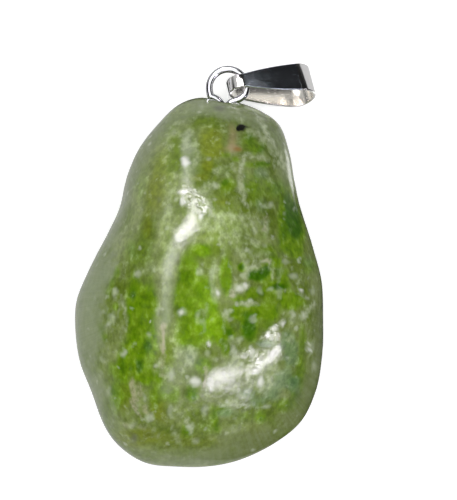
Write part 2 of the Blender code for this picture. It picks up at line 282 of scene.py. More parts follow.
MILKY = [
    (2.59, 3.84, 1.26, 1.26, 0.45), (4.12, 3.3, 1.08, 1.44, 0.45), (5.92, 3.48, 0.63, 0.9, 0.6),
    (6.19, 5.28, 0.63, 0.45, 0.7), (3.67, 1.68, 1.98, 0.72, 0.45), (2.32, 1.32, 0.54, 0.72, 0.5),
    (5.47, 0.87, 1.08, 0.36, 0.5), (2.05, 8.34, 0.9, 0.72, 0.8), (1.51, 7.08, 0.45, 0.45, 0.6),
    (0.7, 6.72, 0.54, 0.54, 0.5), (0.6, 5.8, 1.0, 1.4, 0.5), (-2.7, 6.0, 0.8, 3.4, 0.35),
    (-1.01, 11.04, 0.81, 1.26, 0.55), (-1.19, 8.34, 0.9, 1.26, 0.6), (-0.29, 9.6, 0.36, 1.26, 0.4),
    (-2.45, 11.22, 0.72, 1.08, 0.3), (1.28, -1.38, 0.32, 1.62, 0.75), (1.33, 0.24, 0.36, 0.54, 0.4),
    (-5.42, -0.66, 0.54, 0.63, 0.75), (-7.4, -2.46, 0.45, 0.63, 0.7),
    (-6.68, -3.72, 0.32, 1.08, 0.4), (-7.85, -4.62, 0.63, 0.54, 0.6),
    (-6.77, -6.33, 0.32, 1.62, 0.3), (-2.99, -1.83, 0.36, 3.6, 0.3), (-3.26, -9.03, 0.72, 0.9, 0.6),
    (-2.45, -9.75, 0.45, 0.63, 0.8), (-0.83, -7.95, 0.9, 0.72, 0.7), (-1.28, -8.85, 0.9, 0.72, 0.6),
    (-1.91, -7.68, 0.45, 0.72, 0.5), (2.32, -9.66, 1.26, 0.9, 0.5), (5.65, -8.76, 1.08, 0.81, 0.5),
    (3.31, -8.76, 0.72, 0.54, 0.6), (6.91, -6.51, 0.63, 0.54, 0.7), (8.26, -6.51, 0.45, 0.54, 0.5),
    (4.75, -10.38, 0.54, 1.08, 0.5), (5.92, -10.92, 0.63, 0.99, 0.6),
    (3.22, -11.73, 1.26, 0.45, 0.5), (2.95, -12.54, 1.44, 0.27, 0.5),
    (-4.43, -11.28, 0.54, 0.9, 0.15), (-8.03, -11.28, 0.36, 0.54, 0.5),
    (-2.54, -13.08, 0.36, 0.63, 0.6), (-1.37, -13.35, 0.72, 0.45, 0.5),
    (0.52, -13.08, 0.36, 0.63, 0.6), (-4.43, -13.62, 0.45, 0.45, 0.8),
    (-5.96, -14.34, 0.54, 0.32, 0.7), (-0.74, -14.43, 0.36, 0.63, 0.7),
    (-0.29, -15.87, 0.45, 0.27, 0.6), (1.06, -16.41, 0.45, 0.22, 0.4),
    (3.67, -13.98, 0.72, 0.9, 0.3), (2.77, -14.7, 0.72, 0.54, 0.3), (8.35, -0.93, 0.45, 0.45, 0.7),
    (8.8, 0.42, 0.72, 0.45, 0.4), (9.07, -1.83, 0.72, 0.54, 0.4), (10.15, -2.28, 0.36, 0.45, 0.5),
    (9.34, -4.53, 0.45, 0.54, 0.6), (8.17, -4.8, 0.72, 0.45, 0.6), (9.97, -7.41, 0.45, 0.72, 0.6),
    (10.42, -9.12, 0.36, 0.54, 0.6), (2.41, -4.35, 0.45, 0.45, 0.7), (0.07, -0.57, 0.36, 0.36, 0.6),
    (-0.11, -4.8, 0.36, 0.54, 0.5), (5.29, -0.3, 1.08, 0.36, 0.5), (3.67, -2.01, 0.72, 0.45, 0.7),
    (4.3, -3.45, 0.81, 0.27, 0.5), (4.75, -4.89, 0.45, 0.36, 0.5), (2.95, -6.96, 0.72, 0.45, 0.5),
    (3.94, -6.6, 0.54, 0.36, 0.5), (6.55, 7.8, 0.54, 1.08, 0.3), (5.65, 8.25, 0.63, 0.54, 0.4),
    (-4.43, -0.3, 0.54, 0.72, 0.35), (-8.48, -8.13, 0.63, 0.9, 0.35),
    (-8.66, -9.93, 0.36, 0.54, 0.4), (-4.79, -11.82, 0.36, 0.54, 0.3),
    (-5.69, -11.1, 0.45, 0.9, 0.3), (-5.51, -12.9, 0.36, 0.72, 0.5),
    (-2.09, -15.15, 0.36, 0.54, 0.5), (-3.98, -14.88, 0.36, 0.54, 0.4),
    (0.97, -8.13, 0.54, 0.45, 0.4), (6.19, -7.23, 0.36, 0.36, 0.3), (2.9, 3.0, 1.4, 1.4, 0.3),
    # The last row, beside the lower right highlight, is painted highlight: a pale haze that widens
    # it
    (1.0, 3.4, 1.1, 1.8, 0.3), (-2.7, 1.8, 1.0, 1.8, 0.25), (6.3, -9.4, 1.1, 0.9, 0.4),
]
SEA_GREEN = [
    (5.92, -7.05, 0.81, 0.36, 0.9), (8.17, -7.86, 0.72, 1.44, 0.9), (7.45, -10.2, 0.81, 0.81, 0.8),
    (8.44, -10.56, 0.63, 0.9, 0.9), (6.37, -11.46, 0.81, 0.81, 0.8), (4.39, -11.46, 0.9, 0.54, 0.7),
    (7.72, -6.78, 0.72, 0.9, 0.8), (5.65, -5.88, 0.54, 0.45, 0.4), (3.22, -5.43, 0.54, 0.54, 0.6),
    (5.02, -12.36, 0.9, 0.54, 0.5), (2.59, -13.26, 1.08, 0.45, 0.5), (5.65, 8.25, 0.72, 0.63, 0.6),
    (5.65, 5.37, 0.81, 0.72, 0.5), (6.19, 4.2, 0.72, 0.9, 0.5), (-9.38, -3.18, 0.72, 2.7, 0.4),
    (-8.48, -0.93, 0.54, 0.9, 0.5), (-5.33, 1.32, 1.08, 1.08, 0.35), (9.52, 0.24, 0.72, 0.72, 0.5),
    (-0.83, -8.22, 0.72, 0.72, 0.4), (5.29, -12.18, 0.72, 0.45, 0.4), (7.0, 6.72, 0.63, 0.9, 0.4),
    (-0.38, -10.83, 0.9, 0.45, 0.3), (-8.03, -4.53, 0.63, 0.9, 0.4),
]
# Rind zones: where the painted reflection along the rim, a pale band for the mirrored table, turns
# olive, widens or is left out
OLIVE_RIND_REFLECTION = [
    (7.54, -15.51, 6.48, 4.95, 1), (9.52, -4.53, 2.52, 7.02, 0.8), (-4.97, 7.98, 3.96, 4.95, 0.4),
    (5.65, 13.92, 2.7, 1.44, 0.5), (-5.4, -15.4, 4.0, 2.8, 0.7),
]
WIDE_RIND_REFLECTION = [
    (-10.28, -4.98, 1.8, 5.94, 1), (-9.2, -0.3, 1.8, 2.7, 0.9), (-8.03, -13.08, 0.9, 2.97, 0.5),
    (-7.85, 5.37, 1.26, 3.24, 0.5), (6.55, -16.23, 4.5, 1.44, 0.8), (10.69, -7.23, 0.72, 5.04, 0.5),
    (0.52, 14.46, 2.7, 0.72, 0.6), (-4.43, -17.13, 3.6, 0.72, 0.4),
]
BARE_RIM = [
    (9.61, 3.39, 2.79, 4.86, 1), (11.05, -2.46, 1.62, 2.52, 0.5), (-5.8, -15.4, 4.4, 3.2, 0.9),
]
# Where the body is darker, by this share, or lighter where it is negative
SHADED = [
    (6.0, 13.0, 3.6, 2.4, 0.20), (7.5, 7.5, 2.4, 6.0, 0.15), (8.5, -12.0, 2.0, 2.4, 0.15),
    (4.6, -2.6, 1.0, 1.6, 0.12), (0.9, -2.6, 1.4, 4.2, -0.32), (2.3, 3.6, 1.3, 2.0, -0.34),
    (-2.6, 9.3, 1.1, 3.4, -0.26), (1.0, 11.8, 1.1, 2.2, -0.24), (-2.7, -6.9, 1.0, 1.8, -0.30),
    (0.4, 2.8, 1.0, 2.4, -0.15), (-2.9, 1.6, 0.8, 2.2, -0.25), (6.5, -2.4, 1.0, 0.9, 0.15),
    (6.6, 1.2, 1.0, 0.9, 0.12), (9.8, -12.0, 1.2, 2.0, 0.25), (4.8, -16.0, 2.2, 0.8, 0.18),
    (-0.5, 8.0, 3.0, 4.0, -0.12), (1.5, 3.4, 2.4, 2.4, -0.12), (-2.7, 2.5, 1.0, 3.0, -0.10),
    (1.7, -4.5, 1.6, 1.6, -0.15), (0.0, -6.0, 2.0, 1.2, -0.15), (-2.7, -8.4, 1.0, 1.8, -0.18),
    (-0.8, -13.2, 1.2, 1.0, -0.15),
]
ZONES = {
    "clear": CLEAR_GREEN, "deep": DEEP_GREEN, "olive": OLIVE_YELLOW, "milky": MILKY,
    "sea": SEA_GREEN, "olive_rind_reflection": OLIVE_RIND_REFLECTION, "bare_rim": BARE_RIM,
    "wide_rind_reflection": WIDE_RIND_REFLECTION,
}


def ovals(points, rows, core=0.2, reach=1.7):
    """One minus the product over the rows of what each oval leaves: its strength eases to nothing
    from core to reach of its radii. The marks fade out below the waist."""
    x, y, z = points.T
    left = np.ones(len(points))
    for cx, cy, across, along, strength in rows:
        away = np.hypot((x - cx) / across, (y - cy) / along)
        left *= 1.0 - strength * (1.0 - ease(away, core, reach))
    return (1.0 - left) * ease(z, *MARK_FADE)


def strokes(points, rows):
    """Greatest over the rows of: strength, easing to nothing 1.5 half widths from the line."""
    x, y, z = points.T
    found = np.zeros(len(points))
    for x0, y0, x1, y1, half, strength in rows:
        run = ((x - x0) * (x1 - x0) + (y - y0) * (y1 - y0)) / ((x1 - x0) ** 2 + (y1 - y0) ** 2)
        run = np.clip(run, 0.0, 1.0)
        away = np.hypot(x - x0 - run * (x1 - x0), y - y0 - run * (y1 - y0)) / half
        found = np.maximum(found, strength * (1.0 - ease(away, 0.0, 1.5)))
    return found * ease(z, *MARK_FADE)


def drifted(points, scale, amount, seed):
    """Points moved by smooth noise: random shifts on a cubic lattice, blended between its
    corners."""
    shifts = (np.random.RandomState(seed).rand(16, 16, 16, 3) - 0.5) * amount
    place = points * scale
    low = np.floor(place)
    share = ease(place - low, 0.0, 1.0)
    low = low.astype(int)
    moved = points.copy()
    for corner in np.ndindex(2, 2, 2):
        weight = np.prod(np.where(corner, share, 1.0 - share), axis=1)
        i, j, k = ((low + corner) % 16).T
        moved += shifts[i, j, k] * weight[:, None]
    return moved


# Small marks of the stone, in millimetres seen from above: x, y, radius across, radius along,
# strength
# Painted glints: small highlights painted on as near-white spots
PAINTED_GLINTS = [
    (-1.22, 9.15, 0.40, 0.50, 1), (-1.46, 6.45, 0.45, 0.22, 0.85), (-1.46, 5.64, 0.27, 0.32, 0.85),
    (0.11, 4.38, 0.27, 0.23, 0.9), (0.92, -6.96, 0.18, 0.22, 0.8), (-0.38, -10.38, 0.54, 0.36, 0.6),
    (1.06, -10.74, 0.27, 0.63, 0.5), (4.66, -7.68, 0.27, 0.45, 0.55),
    (4.93, -9.57, 0.45, 0.27, 0.75), (5.47, -10.38, 0.27, 0.45, 0.8),
    (5.29, -9.21, 0.27, 0.27, 0.6), (7.45, -5.25, 0.27, 0.36, 0.7), (6.73, -5.61, 0.36, 0.27, 0.6),
    (6.1, -6.24, 0.22, 0.36, 0.55), (1.64, -2.46, 0.2, 0.27, 0.6), (3.58, -2.1, 0.27, 0.27, 0.5),
    (4.12, -1.83, 0.27, 0.23, 0.55), (9.03, -2.37, 0.16, 0.16, 0.7),
    (-4.29, -5.07, 0.14, 0.14, 0.5), (-1.46, -4.17, 0.23, 0.22, 0.5), (9.88, -7.59, 0.2, 0.18, 0.6),
    (9.74, -7.05, 0.14, 0.18, 0.5),
]
WHITE_SPOTS = [
    (-0.38, -10.38, 0.63, 0.45, 0.8), (-2.45, -9.75, 0.36, 0.54, 0.7),
    (-1.46, -4.17, 0.4, 0.36, 0.9), (1.64, -2.46, 0.32, 0.45, 1), (0.07, -0.57, 0.36, 0.36, 0.4),
    (-5.42, -0.75, 0.27, 0.36, 0.7), (-6.68, -7.86, 0.25, 0.4, 0.8), (-7.4, -2.46, 0.27, 0.45, 0.4),
    (-4.43, -6.24, 0.27, 0.32, 0.5), (-3.62, -4.08, 0.22, 0.45, 0.4),
    (-3.98, -0.57, 0.14, 0.27, 0.4), (2.41, -4.26, 0.32, 0.36, 0.6),
    (2.68, -4.89, 0.45, 0.18, 0.45), (-0.11, -4.44, 0.23, 0.36, 0.45),
    (0.16, -5.07, 0.23, 0.27, 0.45), (4.75, -4.8, 0.31, 0.31, 0.5), (5.47, -2.28, 0.27, 0.36, 0.45),
    (6.37, -2.19, 0.27, 0.22, 0.5), (7.09, -2.55, 0.23, 0.54, 0.35), (8.35, -4.35, 0.4, 0.27, 0.6),
    (9.34, -4.53, 0.27, 0.36, 0.8), (8.35, -0.93, 0.36, 0.32, 0.6), (8.26, -0.3, 0.18, 0.18, 0.3),
    (9.7, -3.0, 0.22, 0.18, 0.4), (3.13, -7.68, 0.32, 0.54, 0.75), (4.75, -7.86, 0.29, 0.58, 0.7),
    (5.47, -10.29, 0.36, 0.63, 0.6), (10.15, -2.28, 0.27, 0.32, 0.45),
    (9.97, -7.41, 0.4, 0.58, 0.5), (10.33, -9.12, 0.27, 0.45, 0.5), (6.1, -12.72, 0.4, 0.23, 0.55),
    (-4.43, -13.62, 0.4, 0.4, 0.6), (-5.96, -14.34, 0.4, 0.23, 0.5),
    (-0.74, -14.61, 0.23, 0.45, 0.6), (-0.29, -15.87, 0.36, 0.18, 0.4),
    (-2.54, -12.99, 0.27, 0.54, 0.45), (0.52, -12.99, 0.31, 0.54, 0.45),
    (2.14, -12.63, 0.36, 0.18, 0.5), (2.95, -12.54, 0.36, 0.16, 0.45),
    (3.94, -12.45, 0.4, 0.18, 0.45), (0.79, 9.51, 0.27, 0.22, 0.5), (1.51, 7.08, 0.31, 0.27, 0.5),
    (-2.81, 5.01, 0.27, 0.27, 0.3), (-8.57, -4.26, 0.22, 0.22, 0.35),
    (-7.85, -4.62, 0.36, 0.27, 0.4), (-8.12, -11.28, 0.27, 0.45, 0.4),
    (2.86, -6.51, 0.36, 0.22, 0.5), (3.76, -6.6, 0.31, 0.27, 0.5), (5.65, 5.28, 0.27, 0.22, 0.4),
    (6.37, 5.37, 0.27, 0.27, 0.5), (5.83, 1.77, 0.27, 0.27, 0.3), (4.57, 1.32, 0.27, 0.27, 0.35),
    (4.21, 0.24, 0.27, 0.27, 0.35), (-2.18, 11.85, 0.36, 0.27, 0.3), (0.16, 14.19, 0.27, 0.27, 0.3),
    (-4.79, -11.82, 0.23, 0.45, 0.4), (0.79, -7.86, 0.27, 0.27, 0.4),
    (1.51, -8.31, 0.27, 0.23, 0.4), (3.67, -11.73, 0.36, 0.18, 0.3), (7.63, 4.47, 0.22, 0.22, 0.25),
    (5.02, 2.94, 0.27, 0.27, 0.25), (7.72, 0.24, 0.45, 0.22, 0.4),
]
RUST = [(2.75, 10.9, 0.45, 0.9, 0.5), (3.0, 10.3, 0.8, 0.45, 0.65), (3.1, 11.9, 0.45, 0.7, 0.4)]
BURNT = [(3.35, 10.2, 0.50, 0.24, 0.65)]
BLACK_SPECK = [(4.10, 12.50, 0.54, 0.27, 1.0), (3.68, 12.30, 0.28, 0.22, 1.0),
               (4.46, 12.47, 0.34, 0.15, 0.6)]
# The first grey spot, at the neck, is painted shade in the countersink of the bore
GREY_SPOTS_AND_BORE_SHADE = [(1.9, 14.0, 0.7, 0.35, 0.7), (-6.0, -15.6, 0.3, 0.5, 0.7), (-3.6, 5.9, 0.3, 0.3, 0.4)]
PITTED = [(-0.9, 5.8, 1.7, 1.3, 0.9), (6.6, -5.6, 1.3, 0.9, 0.9), (4.9, -9.3, 0.5, 1.6, 0.7),
          (9.9, -7.4, 0.8, 1.8, 0.9), (4.0, -7.6, 0.7, 0.7, 0.6)]
# Healed cracks, pale threads and painted reflection: start, end, half width, strength
# The first, second and fourth bands are painted reflection: the pale veils below the long highlight
# and round the small top glint
PALE_BANDS_AND_SHEEN = [
    (-2.45, 0.69, -2.63, -2.28, 0.54, 0.35), (-2.63, -2.28, -2.81, -5.16, 0.54, 0.4),
    (1.28, -0.3, 1.33, -3.18, 0.27, 0.35), (-0.83, 11.58, -0.83, 7.98, 0.72, 0.3),
]
PALE_THREADS = [
    (3.94, 9.69, 5.65, 9.55, 0.22, 0.6), (5.65, 9.55, 7.36, 9.06, 0.22, 0.55),
    (4.03, 9.24, 3.71, 7.8, 0.23, 0.75), (3.71, 7.8, 3.76, 6.72, 0.27, 0.7),
    (3.76, 6.72, 4.03, 5.28, 0.31, 0.75), (3.67, 14.46, 4.75, 13.83, 0.16, 0.5),
    (4.75, 13.83, 5.65, 12.66, 0.2, 0.7), (5.65, 12.66, 6.55, 10.95, 0.24, 0.8),
    (6.55, 10.95, 7.63, 9.42, 0.28, 0.9), (7.63, 9.42, 8.26, 7.98, 0.25, 0.8),
    (8.26, 7.98, 8.8, 6.54, 0.2, 0.6), (4.21, 12.66, 5.29, 11.76, 0.18, 0.5),
    (5.29, 11.76, 6.37, 10.41, 0.2, 0.5), (6.37, 10.41, 7.36, 9.15, 0.22, 0.5),
    (2.86, 14.28, 3.67, 13.38, 0.14, 0.35), (3.67, 13.38, 4.57, 12.48, 0.14, 0.35),
    (3.94, -1.11, 4.48, -0.48, 0.27, 0.7), (4.48, -0.48, 5.11, -0.03, 0.27, 0.75),
    (5.11, -0.03, 5.92, 0.24, 0.29, 0.6), (6.37, 0.06, 6.73, -0.66, 0.27, 0.6),
    (6.73, -0.66, 6.78, -1.29, 0.22, 0.5), (2.77, -2.82, 3.4, -2.19, 0.32, 0.9),
    (3.4, -2.19, 4.21, -1.74, 0.34, 1), (3.58, -3.41, 5.02, -3.54, 0.22, 0.75),
    (9.25, -4.62, 10.15, -3.72, 0.23, 0.7), (9.03, -2.46, 9.43, -3.18, 0.11, 0.4),
    (5.74, -6.6, 6.19, -5.88, 0.23, 0.85), (6.19, -5.88, 6.82, -5.48, 0.23, 0.85),
    (6.82, -5.48, 7.54, -5.16, 0.25, 0.85), (2.77, -7.23, 3.49, -8.22, 0.23, 0.6),
    (4.48, -7.32, 5.02, -8.4, 0.23, 0.6), (-7.04, -2.82, -6.5, -4.26, 0.22, 0.4),
    (-6.5, -4.26, -6.59, -5.88, 0.18, 0.35), (-2.09, -14.7, -1.55, -15.87, 0.22, 0.45),
    (-1.01, -13.98, -0.47, -15.06, 0.23, 0.5), (-4.25, -14.61, -3.62, -15.51, 0.18, 0.4),
    (1.69, -12.27, 2.59, -12.81, 0.14, 0.4), (2.59, -12.27, 3.67, -12.81, 0.14, 0.4),
    (3.67, -12.27, 4.57, -12.81, 0.14, 0.35), (5.29, -9.48, 5.65, -11.46, 0.2, 0.5),
    (2.05, -6.78, 2.23, -7.86, 0.14, 0.3), (0.7, -3.63, 0.34, -6.33, 0.14, 0.3),
    (1.78, -4.08, 2.23, -5.88, 0.14, 0.3), (2.95, 0.24, 3.49, -1.38, 0.14, 0.35),
    (7.45, -0.48, 7.27, -3.18, 0.14, 0.25), (-0.29, 10.32, -0.2, 8.97, 0.16, 0.3),
    (2.86, 9.06, 3.31, 7.98, 0.14, 0.4), (-7.13, -3.18, -7.85, -5.88, 0.14, 0.25),
]
ROSY_THREADS = [
    (-2.9, -5.7, -2.99, -7.68, 0.31, 0.75), (-2.99, -7.68, -3.35, -9.66, 0.27, 0.4),
    (-5.87, -10.56, -5.87, -11.91, 0.29, 0.6), (-5.87, -11.91, -5.24, -13.44, 0.22, 0.8),
    (-5.24, -10.56, -5.42, -11.46, 0.2, 0.4), (-4.79, -12.54, -4.34, -13.26, 0.18, 0.4),
    (5.92, 0.24, 6.37, 0.1, 0.25, 0.5), (0.52, -9.3, 0.61, -10.74, 0.23, 0.6),
    (2.68, -2.91, 2.95, -2.46, 0.23, 0.5), (6.91, -6.24, 7.18, -6.87, 0.27, 0.35),
    (-6.41, -14.43, -4.61, -14.34, 0.16, 0.35), (5.83, 4.38, 6.01, 3.3, 0.27, 0.35),
    (2.59, 10.5, 2.95, 9.87, 0.27, 0.3),
]

# Small dents and swellings of the tumbled skin: x, y, radius and depth in millimetres
DENTS = [
    (-0.9, 6.3, 0.50, 0.03), (0.2, 5.2, 0.45, 0.03), (-1.2, 9.2, 0.32, -0.05),
    (3.9, -6.2, 1.40, 0.06), (-3.6, -9.6, 1.30, 0.06), (-5.9, 3.4, 1.80, 0.08),
    (5.8, 4.0, 2.00, 0.10), (2.4, -0.6, 2.20, 0.10), (3.8, 9.1, 0.90, 0.06),
    (3.9, -9.5, 0.80, -0.03),
]
# Low ridges: x, y, turn in degrees, long and short radius, height
RIDGES = [(6.0, -8.6, 32.0, 2.6, 1.0, 0.030)]


def skin_relief(points):
    """Height added along the skin: three crossed slow waves, the listed ridges and round dents."""
    x, y, z = points.T
    waves = (
        np.sin(0.9 * x + 0.5 * y + 0.4 * z)
        + np.sin(0.55 * y - 0.8 * z + 1.3)
        + np.sin(1.5 * x - 1.1 * y + 0.9 * z + 2.1) * 0.6
    )
    height = 0.018 * waves
    upper = ease(z, *RELIEF_FADE)
    for ex, ey, turn, long, short, rise in RIDGES:
        a = math.radians(turn)
        along = (x - ex) * math.cos(a) + (y - ey) * math.sin(a)
        aside = (y - ey) * math.cos(a) - (x - ex) * math.sin(a)
        height += rise * np.exp(-((along / long) ** 2) - (aside / short) ** 2) * upper
    for dx, dy, radius, depth in DENTS:
        away = ((x - dx) ** 2 + (y - dy) ** 2) / radius**2
        height -= depth * np.exp(-away) * upper
    return height


def mesh_object(name, points, faces):
    """A smooth mesh object at the origin, from points already in the shared frame."""
    mesh = bpy.data.meshes.new(name)
    mesh.from_pydata((points * MM).tolist(), [], faces)
    mesh.polygons.foreach_set("use_smooth", [True] * len(mesh.polygons))
    mesh.update()
    ob = bpy.data.objects.new(name, mesh)
    bpy.context.scene.collection.objects.link(ob)
    return ob


def add_values(ob, name, values):
    """One number for every point of the mesh, which its material reads by name."""
    layer = ob.data.attributes.new(name, "FLOAT", "POINT")
    layer.data.foreach_set("value", np.asarray(values, np.float32))


def make_stone():
    """The shell with its relief added along the normals, its countersink, and the values of all
    its marks."""
    directions, quads = shell_directions()
    faces = quads.tolist()
    points, rim = stone_points(directions)
    points += ORIGIN_SHIFT
    draft = mesh_object("draft", points, faces)
    normals = np.zeros(len(points) * 3, np.float32)
    draft.data.vertices.foreach_get("normal", normals)
    bpy.data.objects.remove(draft)
    normals = normals.reshape(-1, 3)
    points = points + normals * skin_relief(points)[:, None]
    # The countersink: a cone about the shank's line, with the bore's mouth at its foot
    neck = np.array([NECK[0], NECK[1], EYE_HEIGHT]) + ORIGIN_SHIFT
    spread = np.hypot(points[:, 0] - neck[0], points[:, 2] - neck[2])
    slope = (COUNTERSINK_DEPTH + COUNTERSINK_FOOT) / (COUNTERSINK_RADIUS - HOLE_RADIUS)
    cone = neck[1] - COUNTERSINK_FOOT + slope * (spread - HOLE_RADIUS)
    cone = np.where(spread < HOLE_RADIUS, neck[1] - BORE_DRAWN, cone)
    near = (points[:, 1] > neck[1] - COUNTERSINK_REACH) & (spread < COUNTERSINK_RADIUS)
    points[:, 1] = np.where(near, np.minimum(points[:, 1], cone), points[:, 1])
    points[:, 2] = np.maximum(points[:, 2], 0.0)
    stone = mesh_object("polished_stone", points, faces)
    add_values(stone, "rim", rim)
    add_values(stone, "round", 12.0 * np.arctan2(directions[:, 1], directions[:, 0]))
    for name, rows in ZONES.items():
        add_values(stone, name, ovals(points, rows))
    add_values(stone, "shade", 1.0 - ovals(points, SHADED))
    firm = drifted(points, 0.7, 0.6, 1)
    crumbly = drifted(points, 2.2, 0.35, 2)
    ravelled = drifted(firm, 2.6, 0.5, 3)
    for name, rows, where in (("white", WHITE_SPOTS, crumbly), ("bright", PAINTED_GLINTS, crumbly),
                              ("rust", RUST, firm), ("burnt", BURNT, firm),
                              ("grey", GREY_SPOTS_AND_BORE_SHADE, firm), ("black", BLACK_SPECK, firm),
                              ("pitted", PITTED, firm)):
        add_values(stone, name, ovals(where, rows, 0.2, 1.4))
    for name, rows, where in (("veins_and_sheen", PALE_BANDS_AND_SHEEN, firm), ("pale", PALE_THREADS, ravelled),
                              ("rosy", ROSY_THREADS, ravelled)):
        add_values(stone, name, strokes(where, rows))
    return stone


# Shape of the eye

def eye_path():
    """Centre line of the wire, seen from above: up one leg, round the ring and down the other."""
    cx, cy = EYE_CENTRE
    nx, ny = NECK
    start = [(nx - 0.10, ny - 0.70), (nx - 0.12, ny - 0.15), (nx - 0.32, ny + 0.20),
             (nx - 0.72, ny + 0.66)]
    turn = np.radians(np.arange(206.0, -9.0, -12.0))
    ring = [(cx + RING_RADIUS * math.cos(a), cy + RING_RADIUS * math.sin(a)) for a in turn]
    end = [(cx + 1.52, cy - 0.58), (cx + 1.02, cy - 1.00), (nx + 0.50, ny + 0.40),
           (nx + 0.16, ny - 0.05), (nx + 0.10, ny - 0.70)]
    return np.array(start + ring + end)


def smooth_path(points, steps):
    """Points of a Catmull-Rom curve that runs through the given ones."""
    ghost = np.vstack([2 * points[0] - points[1], points, 2 * points[-1] - points[-2]])
    t = (np.arange(steps) / steps)[None, :, None]
    p0, p1, p2, p3 = (ghost[k : len(ghost) - 3 + k, None, :] for k in range(4))
    curve = 0.5 * (2 * p1 + (p2 - p0) * t + (2 * p0 - 5 * p1 + 4 * p2 - p3) * t**2
                   + (3 * p1 - p0 - 3 * p2 + p3) * t**3)
    return np.vstack([curve.reshape(-1, 2), points[-1:]])


def closed_tube(centres, radii, across, upright):
    """Circles of the given radii in the plane of two unit vectors at each centre, one after
    another, with a fan on a middle point at both ends. Returns points and faces."""
    sides, count = WIRE_SIDES, len(centres)
    turn = 2 * math.pi * np.arange(sides) / sides
    ring = (across[:, None, :] * np.cos(turn)[None, :, None]
            + upright[:, None, :] * np.sin(turn)[None, :, None])
    points = (centres[:, None, :] + ring * radii[:, None, None]).reshape(-1, 3)
    low = np.arange(count - 1)[:, None] * sides + np.arange(sides)[None, :]
    turned = np.arange(count - 1)[:, None] * sides + (np.arange(sides)[None, :] + 1) % sides
    faces = np.stack([low, turned, turned + sides, low + sides], axis=-1).reshape(-1, 4).tolist()
    last, tip = (count - 1) * sides, count * sides
    faces += [[tip, (k + 1) % sides, k] for k in range(sides)]
    faces += [[tip + 1, last + k, last + (k + 1) % sides] for k in range(sides)]
    return np.vstack([points, centres[0], centres[-1]]), faces


def make_eye():
    """A tube of circles along the bent wire, and a straight one for the shank in the bore."""
    flat = smooth_path(eye_path(), 8)
    along = np.gradient(flat, axis=0)
    along /= np.linalg.norm(along, axis=1)[:, None]
    centres = np.column_stack([flat, np.full(len(flat), EYE_HEIGHT)]) + ORIGIN_SHIFT
    across = np.column_stack([-along[:, 1], along[:, 0], np.zeros(len(flat))])
    upright = np.tile([0.0, 0.0, 1.0], (len(flat), 1))
    radii = np.full(len(flat), WIRE_RADIUS)
    wire, wire_faces = closed_tube(centres, radii, across, upright)
    # The shank on the bore's line, rounded at its foot and at its head
    neck = np.array([NECK[0], NECK[1], EYE_HEIGHT]) + ORIGIN_SHIFT
    reach = np.array([-SHANK_DEPTH, -SHANK_DEPTH + 0.1, -SHANK_DEPTH + 0.3,
                      -0.25, -0.05, 0.10, 0.18])
    share = np.array([0.60, 0.85, 1.0, 1.0, 0.93, 0.72, 0.35])
    middle = neck + reach[:, None] * np.array([0.0, 1.0, 0.0])
    sideways = np.tile([1.0, 0.0, 0.0], (len(reach), 1))
    upwards = np.tile([0.0, 0.0, -1.0], (len(reach), 1))
    shank, shank_faces = closed_tube(middle, SHANK_RADIUS * share, sideways, upwards)
    faces = wire_faces + [[len(wire) + k for k in face] for face in shank_faces]
    return mesh_object("wire_eye", np.vstack([wire, shank]), faces)


# Shape of the bail

def bail_frame():
    """Columns: along the bail, across the strap and out of its front face."""
    yaw, pitch, roll = (math.radians(v) for v in (BAIL_YAW, BAIL_PITCH, -BAIL_ROLL))
    about_x = np.array([[1, 0, 0], [0, math.cos(roll), -math.sin(roll)],
                        [0, math.sin(roll), math.cos(roll)]])
    about_y = np.array([[math.cos(pitch), 0, math.sin(pitch)], [0, 1, 0],
                        [-math.sin(pitch), 0, math.cos(pitch)]])
    about_z = np.array([[math.cos(yaw), -math.sin(yaw), 0], [math.sin(yaw), math.cos(yaw), 0],
                        [0, 0, 1]])
    return about_z @ about_y @ about_x


def loop_centreline(count):
    """Belt line round the two circles, spaced evenly: along, depth and outward angle."""
    tilt = math.asin((BAIL_LARGE_RADIUS - BAIL_SMALL_RADIUS) / BAIL_CENTRE_GAP)
    up, down = math.pi / 2 + tilt, -math.pi / 2 - tilt
    straight = math.sqrt(BAIL_CENTRE_GAP**2 - (BAIL_LARGE_RADIUS - BAIL_SMALL_RADIUS) ** 2)
    large_arc = BAIL_LARGE_RADIUS * (up - down)
    small_arc = BAIL_SMALL_RADIUS * (2 * math.pi - (up - down))
    total = large_arc + small_arc + 2 * straight
    run = np.arange(count) * total / count
    marks = np.cumsum([0.0, large_arc, straight, small_arc, straight])
    angle = np.interp(run, marks, [up, down, down, up - 2 * math.pi, up - 2 * math.pi])
    centre_x = np.interp(run, marks, [BAIL_CENTRE_GAP, BAIL_CENTRE_GAP, 0.0, 0.0, BAIL_CENTRE_GAP])
    radius = np.interp(run, marks, [BAIL_LARGE_RADIUS, BAIL_LARGE_RADIUS, BAIL_SMALL_RADIUS,
                                    BAIL_SMALL_RADIUS, BAIL_LARGE_RADIUS])
    return centre_x + radius * np.cos(angle), radius * np.sin(angle), angle, run


def strap_section(widths):
    """Rounded rectangle for every width: corner arcs of EDGE_ROUND, listed once round."""
    half = BAIL_THICKNESS / 2 - EDGE_ROUND
    across, thick = [], []
    for sign_w, sign_t, start in ((1, 1, 90), (1, -1, 0), (-1, -1, -90), (-1, 1, -180)):
        for k in range(EDGE_STEPS):
            a = math.radians(start - 90.0 * k / (EDGE_STEPS - 1))
            across.append(sign_w * (widths / 2 - EDGE_ROUND) + EDGE_ROUND * math.cos(a))
            thick.append(np.full(len(widths), sign_t * half + EDGE_ROUND * math.sin(a)))
    return np.stack(across, axis=1), np.stack(thick, axis=1)


